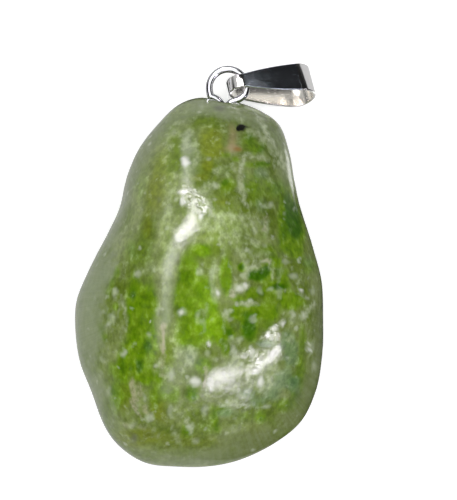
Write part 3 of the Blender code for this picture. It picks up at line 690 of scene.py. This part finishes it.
def make_bail():
    """The strap's section carried along the loop, its width falling off as a square."""
    along, depth, angle, run = loop_centreline(STRAP_STATIONS)
    widths = BAIL_WIDTH - BAIL_TAPER * (BAIL_TAPER_END - np.clip(along, 0.0, BAIL_TAPER_END)) ** 2
    across, thick = strap_section(widths)
    count, sides = across.shape
    out = np.column_stack([np.cos(angle), np.zeros(count), np.sin(angle)])
    middle = np.column_stack([along, np.zeros(count), depth])
    local = middle[:, None, :] + out[:, None, :] * thick[:, :, None]
    local[:, :, 1] += across
    points = local.reshape(-1, 3) @ bail_frame().T
    points += np.array([BAIL_CENTRE[0], BAIL_CENTRE[1], BAIL_HEIGHT]) + ORIGIN_SHIFT
    low = np.arange(count)[:, None] * sides + np.arange(sides)[None, :]
    nxt = np.arange(count)[:, None] * sides + (np.arange(sides)[None, :] + 1) % sides
    quads = np.stack([low, nxt, np.roll(nxt, -1, axis=0), np.roll(low, -1, axis=0)], axis=-1)
    bail = mesh_object("strap_bail", points, quads.reshape(-1, 4).tolist())
    add_values(bail, "along", np.repeat(run, sides))
    add_values(bail, "across", across.ravel())
    add_values(bail, "inner", (thick < 0.0).ravel())
    return bail


# Shader wiring

def feed(tree, value, socket):
    """Gives a socket another node's output, or a plain number or colour."""
    if isinstance(value, bpy.types.NodeSocket):
        tree.links.new(value, socket)
    else:
        socket.default_value = value


def calc(tree, operation, *values, clamp=False):
    node = tree.nodes.new("ShaderNodeMath")
    node.operation = operation
    node.use_clamp = clamp
    for value, socket in zip(values, node.inputs):
        feed(tree, value, socket)
    return node.outputs[0]


def vector_calc(tree, operation, *values):
    node = tree.nodes.new("ShaderNodeVectorMath")
    node.operation = operation
    for value, socket in zip(values, node.inputs):
        feed(tree, value, socket)
    return node.outputs["Value" if operation in ("LENGTH", "DOT_PRODUCT", "DISTANCE") else "Vector"]


def band(tree, value, low, high, to_low=0.0, to_high=1.0):
    """Smooth step from to_low to to_high while value runs from low to high."""
    node = tree.nodes.new("ShaderNodeMapRange")
    node.interpolation_type = "SMOOTHSTEP"
    for given, name in ((value, "Value"), (low, "From Min"), (high, "From Max"),
                        (to_low, "To Min"), (to_high, "To Max")):
        feed(tree, given, node.inputs[name])
    return node.outputs["Result"]


def mix(tree, share, first, second):
    node = tree.nodes.new("ShaderNodeMix")
    node.data_type = "RGBA"
    feed(tree, share, node.inputs["Factor"])
    for given, socket in ((first, node.inputs[6]), (second, node.inputs[7])):
        feed(tree, (*given, 1.0) if isinstance(given, tuple) else given, socket)
    return node.outputs[2]


def noise(tree, where, scale, detail=3.0, roughness=0.5, stretch=None, output="Fac"):
    if stretch:
        where = vector_calc(tree, "MULTIPLY", where, stretch)
    node = tree.nodes.new("ShaderNodeTexNoise")
    feed(tree, where, node.inputs["Vector"])
    node.inputs["Scale"].default_value = scale
    node.inputs["Detail"].default_value = detail
    node.inputs["Roughness"].default_value = roughness
    return node.outputs[output]


def cells(tree, where, scale):
    """Distance to the middle of the nearest of many scattered cells."""
    node = tree.nodes.new("ShaderNodeTexVoronoi")
    feed(tree, where, node.inputs["Vector"])
    node.inputs["Scale"].default_value = scale
    return node.outputs["Distance"]


def bump_normal(tree, height, strength):
    """Normal of a skin whose height is given in millimetres."""
    bump = tree.nodes.new("ShaderNodeBump")
    bump.inputs["Strength"].default_value = strength
    bump.inputs["Distance"].default_value = MM
    tree.links.new(height, bump.inputs["Height"])
    return bump.outputs["Normal"]


def line_place(tree, run):
    """A place whose X is the given run, for noise that varies along one line."""
    comb = tree.nodes.new("ShaderNodeCombineXYZ")
    tree.links.new(run, comb.inputs["X"])
    return comb.outputs[0]


def axes(tree, where):
    """X, Y and Z of a place."""
    split = tree.nodes.new("ShaderNodeSeparateXYZ")
    tree.links.new(where, split.inputs[0])
    return split.outputs


def placed(tree):
    """Place on the object in millimetres."""
    coordinate = tree.nodes.new("ShaderNodeTexCoord")
    mapping = tree.nodes.new("ShaderNodeMapping")
    mapping.inputs["Scale"].default_value = (1000.0, 1000.0, 1000.0)
    tree.links.new(coordinate.outputs["Object"], mapping.inputs["Vector"])
    return mapping.outputs["Vector"]


def point_value(tree, name):
    node = tree.nodes.new("ShaderNodeAttribute")
    node.attribute_name = name
    return node.outputs["Fac"]


def new_group(name, inputs, outputs):
    tree = bpy.data.node_groups.new(name, "ShaderNodeTree")
    for label, kind, value in inputs:
        socket = tree.interface.new_socket(label, in_out="INPUT", socket_type=kind)
        if value is not None:
            socket.default_value = value
    for label, kind in outputs:
        tree.interface.new_socket(label, in_out="OUTPUT", socket_type=kind)
    return tree, tree.nodes.new("NodeGroupInput").outputs, tree.nodes.new("NodeGroupOutput").inputs


def use_group(tree, group, **values):
    node = tree.nodes.new("ShaderNodeGroup")
    node.node_tree = group
    for label, value in values.items():
        feed(tree, value, node.inputs[label])
    return node.outputs


def pane_group():
    """Line between two points of a flat map: 1 on the line, 0 past 1.5 half widths."""
    tree, given, out = new_group(
        "soft_pane",
        [("Place", "NodeSocketVector", None), ("Start", "NodeSocketVector", None),
         ("End", "NodeSocketVector", None), ("Half width", "NodeSocketFloat", 0.2),
         ("Strength", "NodeSocketFloat", 1.0)],
        [("Mask", "NodeSocketFloat")],
    )
    flat = (1.0, 1.0, 0.0)
    arm = vector_calc(tree, "SUBTRACT", given["Place"], given["Start"])
    arm = vector_calc(tree, "MULTIPLY", arm, flat)
    line = vector_calc(tree, "SUBTRACT", given["End"], given["Start"])
    along = calc(tree, "DIVIDE", vector_calc(tree, "DOT_PRODUCT", arm, line),
                 vector_calc(tree, "DOT_PRODUCT", line, line), clamp=True)
    scaled = tree.nodes.new("ShaderNodeVectorMath")
    scaled.operation = "SCALE"
    tree.links.new(line, scaled.inputs[0])
    tree.links.new(along, scaled.inputs["Scale"])
    away = vector_calc(tree, "LENGTH", vector_calc(tree, "SUBTRACT", arm, scaled.outputs[0]))
    share = calc(tree, "DIVIDE", away, given["Half width"])
    mask = band(tree, share, 0.3, 1.5, 1.0, 0.0)
    tree.links.new(calc(tree, "MULTIPLY", mask, given["Strength"]), out["Mask"])
    return tree


def new_material(name):
    made = bpy.data.materials.new(name)
    made.use_nodes = True
    return made, made.node_tree, made.node_tree.nodes["Principled BSDF"]


# Colours of the stone; where there are two, it wanders between them
LIME = ((0.088, 0.190, 0.000), (0.190, 0.320, 0.010))
CLOUD = ((0.115, 0.175, 0.014), (0.245, 0.300, 0.105))
MILK = ((0.235, 0.305, 0.115), (0.360, 0.425, 0.235))
MOSS = (0.100, 0.160, 0.012)
OLIVE = (0.165, 0.210, 0.014)
BOTTLE_GREEN = (0.022, 0.105, 0.000)
SEA = (0.150, 0.255, 0.115)
CURD = (0.360, 0.425, 0.225)
# Colours of the painted reflection along the rim
RIND_REFLECTION = ((0.215, 0.262, 0.130), (0.145, 0.180, 0.052))
RIND_REFLECTION_GRAIN = (0.290, 0.335, 0.190)
RIND_REFLECTION_COMB = (0.330, 0.370, 0.240)
VEIN_AND_SHEEN = (0.400, 0.470, 0.300)
PALE_THREAD = (0.450, 0.500, 0.330)
ROSY_THREAD = (0.500, 0.450, 0.330)
WHITE_SPOT = (0.500, 0.550, 0.410)
FLECK = (0.520, 0.570, 0.420)
# Marks that cover the body wherever their own value says, in this order: painted glints, rust and
# burnt stains, and grey spots with the painted shade of the bore
STAINS_GLINTS_AND_SHADE = (("bright", (0.85, 0.86, 0.80)), ("rust", (0.400, 0.300, 0.170)),
          ("burnt", (0.270, 0.130, 0.020)), ("grey", (0.110, 0.120, 0.080)))
SPECK_BLACK = (0.006, 0.006, 0.004)
PERIDOT_IOR = 1.66


def peridot_material():
    made, tree, shader = new_material("cloudy_peridot")
    place = placed(tree)
    rim = point_value(tree, "rim")
    height = axes(tree, place)["Z"]
    face = band(tree, height, *MARK_FADE)
    off_face = calc(tree, "SUBTRACT", 1.0, face)

    # Grains: long grained veils, blotches under a millimetre and a fine grain
    veil = noise(tree, place, 0.42, 4.0, 0.55, (1.0, 0.7, 1.0))
    blotch = noise(tree, place, 1.25, 2.0, 0.50, (1.0, 0.8, 1.0))
    grain = noise(tree, place, 2.4, 3.0, 0.55, (1.0, 0.7, 1.0))
    fuzz = calc(tree, "ADD", calc(tree, "MULTIPLY", calc(tree, "SUBTRACT", veil, 0.5), 1.0),
                calc(tree, "MULTIPLY", calc(tree, "SUBTRACT", blotch, 0.5), 0.9))

    def ragged(name, low=0.10, high=0.80):
        """A zone of the mesh with its edge broken up by the veils and blotches."""
        value = point_value(tree, name)
        edge = calc(tree, "MULTIPLY", fuzz, band(tree, value, 0.0, 0.25))
        return band(tree, calc(tree, "ADD", value, edge), low, high)

    def warped(scale, amount):
        drift = noise(tree, place, scale, 3.0, 0.6, output="Color")
        drift = vector_calc(tree, "SUBTRACT", drift, (0.5, 0.5, 0.5))
        return vector_calc(tree, "ADD", place, vector_calc(tree, "MULTIPLY", drift, (amount,) * 3))

    crumbly = warped(2.0, 0.45)

    # Body: olive-grey cloud over green that is lime where clear and bottle green where deep
    other_green = band(tree, noise(tree, place, 0.17, 3.0), 0.48, 0.60)
    other_green = calc(tree, "MULTIPLY", other_green, off_face)
    clear = calc(tree, "MAXIMUM", ragged("clear"), other_green)
    quiet = band(tree, point_value(tree, "clear"), 0.2, 0.9, 1.0, 0.25)
    lime = mix(tree, band(tree, blotch, 0.25, 0.75), *LIME)
    cloud = mix(tree, band(tree, veil, 0.30, 0.70), *CLOUD)
    cloud = mix(tree, band(tree, blotch, 0.50, 0.20, 0.0, 0.5), cloud, MOSS)
    colour = mix(tree, calc(tree, "MULTIPLY", ragged("olive"), 0.85), cloud, OLIVE)
    colour = mix(tree, clear, colour, lime)
    colour = mix(tree, calc(tree, "MULTIPLY", ragged("deep"), 0.8), colour, BOTTLE_GREEN)
    colour = mix(tree, calc(tree, "MULTIPLY", ragged("sea"), 0.6), colour, SEA)
    milk = mix(tree, band(tree, blotch, 0.38, 0.62), *MILK)
    cloudy = calc(tree, "MULTIPLY", ragged("milky"), band(tree, grain, 0.20, 0.80, 0.45, 0.80))
    colour = mix(tree, cloudy, colour, milk)
    curd = calc(tree, "MULTIPLY", band(tree, blotch, 0.50, 0.75), band(tree, grain, 0.30, 0.70))
    curd = calc(tree, "MULTIPLY", calc(tree, "MULTIPLY", curd, 0.6), quiet)
    colour = mix(tree, curd, colour, CURD)
    shade = band(tree, grain, 0.25, 0.75, 0.76, 1.22)
    shade = calc(tree, "MULTIPLY", shade, point_value(tree, "shade"))
    colour = vector_calc(tree, "MULTIPLY", colour, shade)

    # Rind: painted reflection towards the widest line, a smooth band standing in for the pale table
    # mirrored at the grazing edge, grey on one side and olive on the other
    edge_noise = calc(tree, "MULTIPLY", calc(tree, "SUBTRACT", veil, 0.5), 0.16)
    rind_reflection = band(tree, calc(tree, "ADD", rim, edge_noise), 0.84, 0.96, 0.0, 0.85)
    rind_reflection = calc(tree, "MULTIPLY", rind_reflection, calc(tree, "SUBTRACT", 1.0, point_value(tree, "bare_rim")))
    rind_reflection_colour = mix(tree, point_value(tree, "olive_rind_reflection"), *RIND_REFLECTION)
    rind_reflection_colour = mix(tree, band(tree, grain, 0.35, 0.65, 0.0, 0.15), rind_reflection_colour, RIND_REFLECTION_GRAIN)
    combed = noise(tree, line_place(tree, point_value(tree, "round")), 2.4, 2.0, 0.6)
    combed = calc(tree, "MULTIPLY", band(tree, combed, 0.40, 0.62, 0.0, 0.20),
                  band(tree, height, 5.5, 8.0))
    rind_reflection_colour = mix(tree, combed, rind_reflection_colour, RIND_REFLECTION_COMB)
    rind_reflection = calc(tree, "MAXIMUM", rind_reflection, calc(tree, "MULTIPLY", ragged("wide_rind_reflection"), 0.8))
    # Below the widest line the painted reflection thins out in patches
    patchy = band(tree, noise(tree, place, 0.30, 4.0, 0.6), 0.40, 0.58, 0.10, 0.85)
    rind_reflection = calc(tree, "MULTIPLY", rind_reflection, band(tree, height, 6.4, 8.2, patchy, 1.0))
    colour = mix(tree, rind_reflection, colour, rind_reflection_colour)

    # Veins and bands of painted reflection, threads, spots, stains and painted glints
    broken = band(tree, grain, 0.30, 0.62, 0.25, 1.0)
    blotched = band(tree, blotch, 0.3, 0.5, 0.7, 1.0)
    for name, share, mark in (("veins_and_sheen", blotched, VEIN_AND_SHEEN), ("pale", broken, PALE_THREAD),
                              ("rosy", broken, ROSY_THREAD), ("white", 0.85, WHITE_SPOT)):
        share = calc(tree, "MULTIPLY", point_value(tree, name), share)
        colour = mix(tree, share, colour, mark)
    fleck = band(tree, cells(tree, crumbly, 0.85), 0.05, 0.30, 0.55, 0.0)
    fleck = calc(tree, "MULTIPLY", fleck, band(tree, noise(tree, place, 0.6, 3.0), 0.48, 0.60))
    colour = mix(tree, fleck, colour, FLECK)
    # Painted glints, the stains and the grey spots with the bore's painted shade cover the body
    # here
    for name, mark in STAINS_GLINTS_AND_SHADE:
        colour = mix(tree, point_value(tree, name), colour, mark)
    colour = mix(tree, band(tree, point_value(tree, "black"), 0.25, 0.75), colour, SPECK_BLACK)
    tree.links.new(colour, shader.inputs["Base Color"])

    # Skin: a tumbled gloss over faint lumps, broken by pitted spots
    lumps = calc(tree, "MULTIPLY", noise(tree, place, 0.8, 2.0, 0.5), 0.018)
    ripple = calc(tree, "MULTIPLY", noise(tree, place, 6.0, 3.0, 0.6), 0.0025)
    pits = calc(tree, "MULTIPLY", noise(tree, place, 1.9, 3.0, 0.55), 0.060)
    pits = calc(tree, "MULTIPLY", pits, point_value(tree, "pitted"))
    skin = calc(tree, "ADD", calc(tree, "ADD", lumps, ripple), pits)
    tree.links.new(bump_normal(tree, skin, 1.0), shader.inputs["Normal"])
    tree.links.new(band(tree, blotch, 0.35, 0.70, 0.12, 0.18), shader.inputs["Roughness"])
    shader.inputs["IOR"].default_value = PERIDOT_IOR
    shader.inputs["Subsurface Weight"].default_value = 0.25
    shader.inputs["Subsurface Radius"].default_value = (0.8, 1.0, 0.35)
    shader.inputs["Subsurface Scale"].default_value = 0.4 * MM
    return made


def polish_group():
    """Wear of polished silver: a faint cloud of handling, hair scratches and their height."""
    tree, given, out = new_group(
        "silver_wear",
        [("Place", "NodeSocketVector", None), ("Line", "NodeSocketFloat", 0.0)],
        [("Cloud", "NodeSocketFloat"), ("Scratch", "NodeSocketFloat"),
         ("Height", "NodeSocketFloat")],
    )
    cloud = noise(tree, given["Place"], 1.1, 4.0, 0.6)
    ripple = noise(tree, line_place(tree, given["Line"]), 2.6, 5.0, 0.65)
    hair = noise(tree, given["Place"], 9.0, 3.0, 0.6, (0.15, 1.0, 1.0))
    scratch = band(tree, hair, 0.60, 0.72)
    tree.links.new(cloud, out["Cloud"])
    tree.links.new(scratch, out["Scratch"])
    height = calc(tree, "ADD", calc(tree, "MULTIPLY", ripple, 0.010),
                  calc(tree, "MULTIPLY", hair, 0.0015))
    tree.links.new(height, out["Height"])
    return tree


# Silver: bright and tarnished, and the painted reflection tints of the strap's front, blue-grey,
# and inside, cream
EYE_SILVER = ((0.62, 0.63, 0.66), (0.44, 0.44, 0.46))
BAIL_SILVER = ((0.87, 0.86, 0.85), (0.70, 0.69, 0.68))
FRONT_REFLECTION_TINT = (0.76, 0.83, 0.92)
INSIDE_REFLECTION_TINT = (0.95, 0.925, 0.87)
POLISH = 0.05


def silver_material(name, wear_group, bright, dull, strap=False):
    """Polished silver. A strap has brushed streaks across its front, its narrow half a little
    duller, and is left unpolished inside."""
    made, tree, shader = new_material(name)
    place = placed(tree)
    line = point_value(tree, "along") if strap else 0.0
    wear = use_group(tree, wear_group, Place=place, Line=line)
    tarnish = band(tree, wear["Cloud"], 0.45, 0.72, 0.0, 0.6)
    colour = mix(tree, tarnish, bright, dull)
    rough = calc(tree, "ADD", POLISH, calc(tree, "MULTIPLY", wear["Cloud"], 0.08))
    rough = calc(tree, "ADD", rough, calc(tree, "MULTIPLY", wear["Scratch"], 0.12))
    if strap:
        front = band(tree, line, FRONT_START - 0.1, FRONT_START + 0.2)
        outer = calc(tree, "SUBTRACT", 1.0, point_value(tree, "inner"))
        # Painted reflection: the front is tinted blue-grey and the inside cream, the colours its
        # mirror shows
        colour = mix(tree, calc(tree, "MULTIPLY", front, outer), colour, FRONT_REFLECTION_TINT)
        colour = mix(tree, outer, INSIDE_REFLECTION_TINT, colour)
        narrow_half = band(tree, line, FRONT_START + 0.4, FRONT_START + 3.6, 0.09, 0.0)
        slant = calc(tree, "ADD", line, calc(tree, "MULTIPLY", point_value(tree, "across"), 0.3))
        streaks = noise(tree, line_place(tree, slant), 3.0, 3.0, 0.7)
        streaks = band(tree, streaks, 0.55, 0.68, 0.0, 0.08)
        front = calc(tree, "MULTIPLY", front, calc(tree, "ADD", narrow_half, streaks))
        inside = calc(tree, "MULTIPLY", point_value(tree, "inner"), 0.17)
        rough = calc(tree, "ADD", calc(tree, "ADD", rough, front), inside)
    tree.links.new(colour, shader.inputs["Base Color"])
    tree.links.new(rough, shader.inputs["Roughness"])
    tree.links.new(bump_normal(tree, wear["Height"], 0.6), shader.inputs["Normal"])
    shader.inputs["Metallic"].default_value = 1.0
    return made


# Studio

FLOOR_HALF = 400.0
FLOOR_HEIGHT = -0.02
# Patches of the table as mirrored rays see it: middle, and the radii between which it fades
EYE_SHADE = ((1.0, 16.0, 0.0), 3.2, 4.6)
BAIL_GLOW = ((7.6, 16.4, 0.0), 2.0, 4.5)
RIM_GLOW = ((14.8, 10.4, 0.0), 1.4, 3.2)


def floor_plane():
    """White table. Mirrored rays see patches of it dimmed or glowing."""
    corners = ((-1, -1), (1, -1), (1, 1), (-1, 1))
    points = np.array([(x * FLOOR_HALF, y * FLOOR_HALF, FLOOR_HEIGHT) for x, y in corners])
    floor = mesh_object("floor", points, [[0, 1, 2, 3]])
    made, tree, shader = new_material("white_card")
    ray = tree.nodes.new("ShaderNodeLightPath").outputs
    # The table mirrored in the stone is dimmer beside its lower right flank
    place = placed(tree)
    split = axes(tree, place)
    beyond = calc(tree, "SUBTRACT", split["Y"], calc(tree, "MULTIPLY", split["X"], 0.75))
    flank = calc(tree, "MULTIPLY", band(tree, split["X"], 6.0, 11.0), band(tree, beyond, 2.0, -2.5))
    mirrored = mix(tree, flank, (0.62, 0.62, 0.62), (0.05, 0.05, 0.05))
    # It is dim in the shade of the eye too, and lit through the open bail and beside the right rim
    def patch(spot, inside, outside):
        middle, near, far = spot
        away = vector_calc(tree, "DISTANCE", place, middle)
        return band(tree, away, near, far, inside, outside)

    mirrored = mix(tree, patch(EYE_SHADE, 0.0, 1.0), (0.06, 0.06, 0.06), mirrored)
    lit = calc(tree, "ADD", patch(BAIL_GLOW, 0.6, 0.0), patch(RIM_GLOW, 2.2, 0.0))
    through = calc(tree, "MULTIPLY", ray["Is Glossy Ray"], lit)
    seen = calc(tree, "MULTIPLY", ray["Is Camera Ray"], 0.5)
    colour = mix(tree, ray["Is Glossy Ray"], (0.90, 0.90, 0.90), mirrored)
    tree.links.new(colour, shader.inputs["Base Color"])
    shader.inputs["Emission Color"].default_value = (1.0, 1.0, 1.0, 1.0)
    tree.links.new(calc(tree, "ADD", seen, through), shader.inputs["Emission Strength"])
    shader.inputs["Roughness"].default_value = 0.9
    shader.inputs["Specular IOR Level"].default_value = 0.1
    floor.data.materials.append(made)
    return floor


def toward(azimuth, elevation):
    """Unit direction of an azimuth from +X and an elevation, in degrees."""
    a, e = math.radians(azimuth), math.radians(elevation)
    return np.array([math.cos(a) * math.cos(e), math.sin(a) * math.cos(e), math.sin(e)])


STONE_MIDDLE = np.array([0.0, -1.0, 8.0])


def soft_light(name, start, end, width, power, distance=260.0, mirrored=True):
    """Area light that reaches from one direction to another as the stone sees them, each given as
    azimuth from +X, anticlockwise, and elevation, and is aimed at the stone."""
    first, last = toward(*start), toward(*end)
    middle = (first + last) / np.linalg.norm(first + last)
    long_side = (last - first) / np.linalg.norm(last - first)
    across = np.cross(long_side, middle)
    light = bpy.data.lights.new(name, "AREA")
    light.shape = "ELLIPSE"
    light.size, light.size_y = width * MM, float(np.linalg.norm(last - first)) * distance * MM
    light.energy = power
    ob = bpy.data.objects.new(name, light)
    ob.location = tuple((middle * distance + STONE_MIDDLE) * MM)
    ob.rotation_mode = "QUATERNION"
    turned = Matrix(np.column_stack([across, long_side, middle]).tolist())
    ob.rotation_quaternion = turned.to_quaternion()
    ob.visible_glossy = mirrored
    bpy.context.scene.collection.objects.link(ob)
    return ob


def silver_cards(pieces):
    """Pale cards above the table and beyond its far edge that only the silver mirrors."""
    lit = bpy.data.collections.new("silver_pieces")
    for piece in pieces:
        lit.objects.link(piece)
    for name, start, end, width, power in (
        ("silver_card", (180.0, 60.0), (0.0, 64.0), 330.0, 0.55),
        ("far_card", (64.0, 36.0), (128.0, 38.0), 150.0, 0.30),
    ):
        card = soft_light(name, start, end, width, power, 300.0)
        card.data.shape = "RECTANGLE"
        card.light_linking.receiver_collection = lit


# Bright panes of the surroundings on a flat map of the sky (direction X and Y over 1 + Z): start,
# end, half width and glow
WINDOW_PANES = [
    (-0.04, 0.345, -0.17, 0.24, 0.055, 15.0), (-0.20, 0.21, -0.26, 0.14, 0.060, 3.4),
    (-0.27, 0.13, -0.23, -0.12, 0.090, 1.1), (-0.19, 0.76, -0.14, 0.57, 0.070, 1.8),
    (-0.12, 0.51, 0.05, 0.43, 0.034, 20.0), (0.03, -0.34, 0.09, -0.42, 0.080, 1.6),
    (0.40, -0.482, 0.54, -0.402, 0.029, 19.0), (0.25, -0.520, 0.31, -0.52, 0.048, 13.0),
    (0.42, -0.475, 0.57, -0.385, 0.050, 1.6),
]
PANE_TINT = (1.00, 0.93, 1.05)


def surroundings():
    world = bpy.data.worlds.new("studio")
    bpy.context.scene.world = world
    world.use_nodes = True
    tree = world.node_tree
    background = tree.nodes["Background"]
    background.inputs["Strength"].default_value = 1.0
    coordinate = tree.nodes.new("ShaderNodeTexCoord")
    sky = coordinate.outputs["Generated"]
    split = axes(tree, sky)
    horizon = calc(tree, "MULTIPLY", band(tree, split["Z"], 0.24, 0.04),
                   band(tree, split["X"], 0.6, -0.6, 0.15, 1.0))
    mirrored = mix(tree, horizon, (0.015, 0.015, 0.015), (0.30, 0.30, 0.30))
    bright_side = vector_calc(tree, "DOT_PRODUCT", sky, (-0.53, 0.63, 0.57))
    mirrored = mix(tree, band(tree, bright_side, 0.84, 0.97), mirrored, (0.58, 0.58, 0.58))
    # Seen from a mirror that tips by slope s, the sky's direction lands at s on this flat map
    rise = calc(tree, "ADD", split["Z"], 1.0)
    flat_map = tree.nodes.new("ShaderNodeCombineXYZ")
    for axis in ("X", "Y"):
        tree.links.new(calc(tree, "DIVIDE", split[axis], rise), flat_map.inputs[axis])
    panes = pane_group()
    above = band(tree, split["Z"], 0.0, 0.1)
    for x0, y0, x1, y1, half, glow in WINDOW_PANES:
        pane = use_group(tree, panes, Place=flat_map.outputs[0], Start=(x0, y0, 0.0),
                         End=(x1, y1, 0.0), Strength=glow, **{"Half width": half})["Mask"]
        pane = calc(tree, "MULTIPLY", pane, above)
        lit = tree.nodes.new("ShaderNodeMix")
        lit.data_type, lit.blend_type, lit.clamp_result = "RGBA", "ADD", False
        lit.inputs["Factor"].default_value = 1.0
        tree.links.new(mirrored, lit.inputs[6])
        tree.links.new(vector_calc(tree, "MULTIPLY", pane, PANE_TINT), lit.inputs[7])
        mirrored = lit.outputs[2]
    ray = tree.nodes.new("ShaderNodeLightPath")
    dome = mix(tree, ray.outputs["Is Glossy Ray"], (0.42, 0.42, 0.43), mirrored)
    dome = mix(tree, ray.outputs["Is Camera Ray"], dome, (0.9, 0.9, 0.9))
    tree.links.new(dome, background.inputs["Color"])


def picture_camera():
    camera = bpy.data.cameras.new("camera")
    camera.sensor_width = SENSOR
    camera.lens = SENSOR * (CAMERA_DISTANCE - FRAMED_HEIGHT) / PICTURE_HEIGHT
    camera.clip_start, camera.clip_end = 0.01, 5.0
    ob = bpy.data.objects.new("camera", camera)
    ob.location = (PICTURE_CENTRE[0] * MM, PICTURE_CENTRE[1] * MM, CAMERA_DISTANCE * MM)
    bpy.context.scene.collection.objects.link(ob)
    bpy.context.scene.camera = ob


def dress(piece, material, body, node):
    piece.data.materials.append(material)
    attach(piece, body)
    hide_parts(node)


def main():
    for ob in list(bpy.data.objects):
        bpy.data.objects.remove(ob, do_unlink=True)
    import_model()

    dress(make_stone(), peridot_material(), "stone", "stone")
    wear = polish_group()
    eye_silver = silver_material("eye_silver", wear, *EYE_SILVER)
    bail_silver = silver_material("bail_silver", wear, *BAIL_SILVER, strap=True)
    eye, bail = make_eye(), make_bail()
    dress(eye, eye_silver, "stone", "eye_peg")
    dress(bail, bail_silver, "bail", "bail")

    floor_plane()
    surroundings()
    soft_light("overhead", (-80.0, 74.0), (100.0, 74.0), 400.0, 1.20, 400.0, mirrored=False)
    silver_cards([eye, bail])
    bpy.context.scene.view_settings.view_transform = "Standard"
    picture_camera()

    bpy.context.view_layer.update()


main()
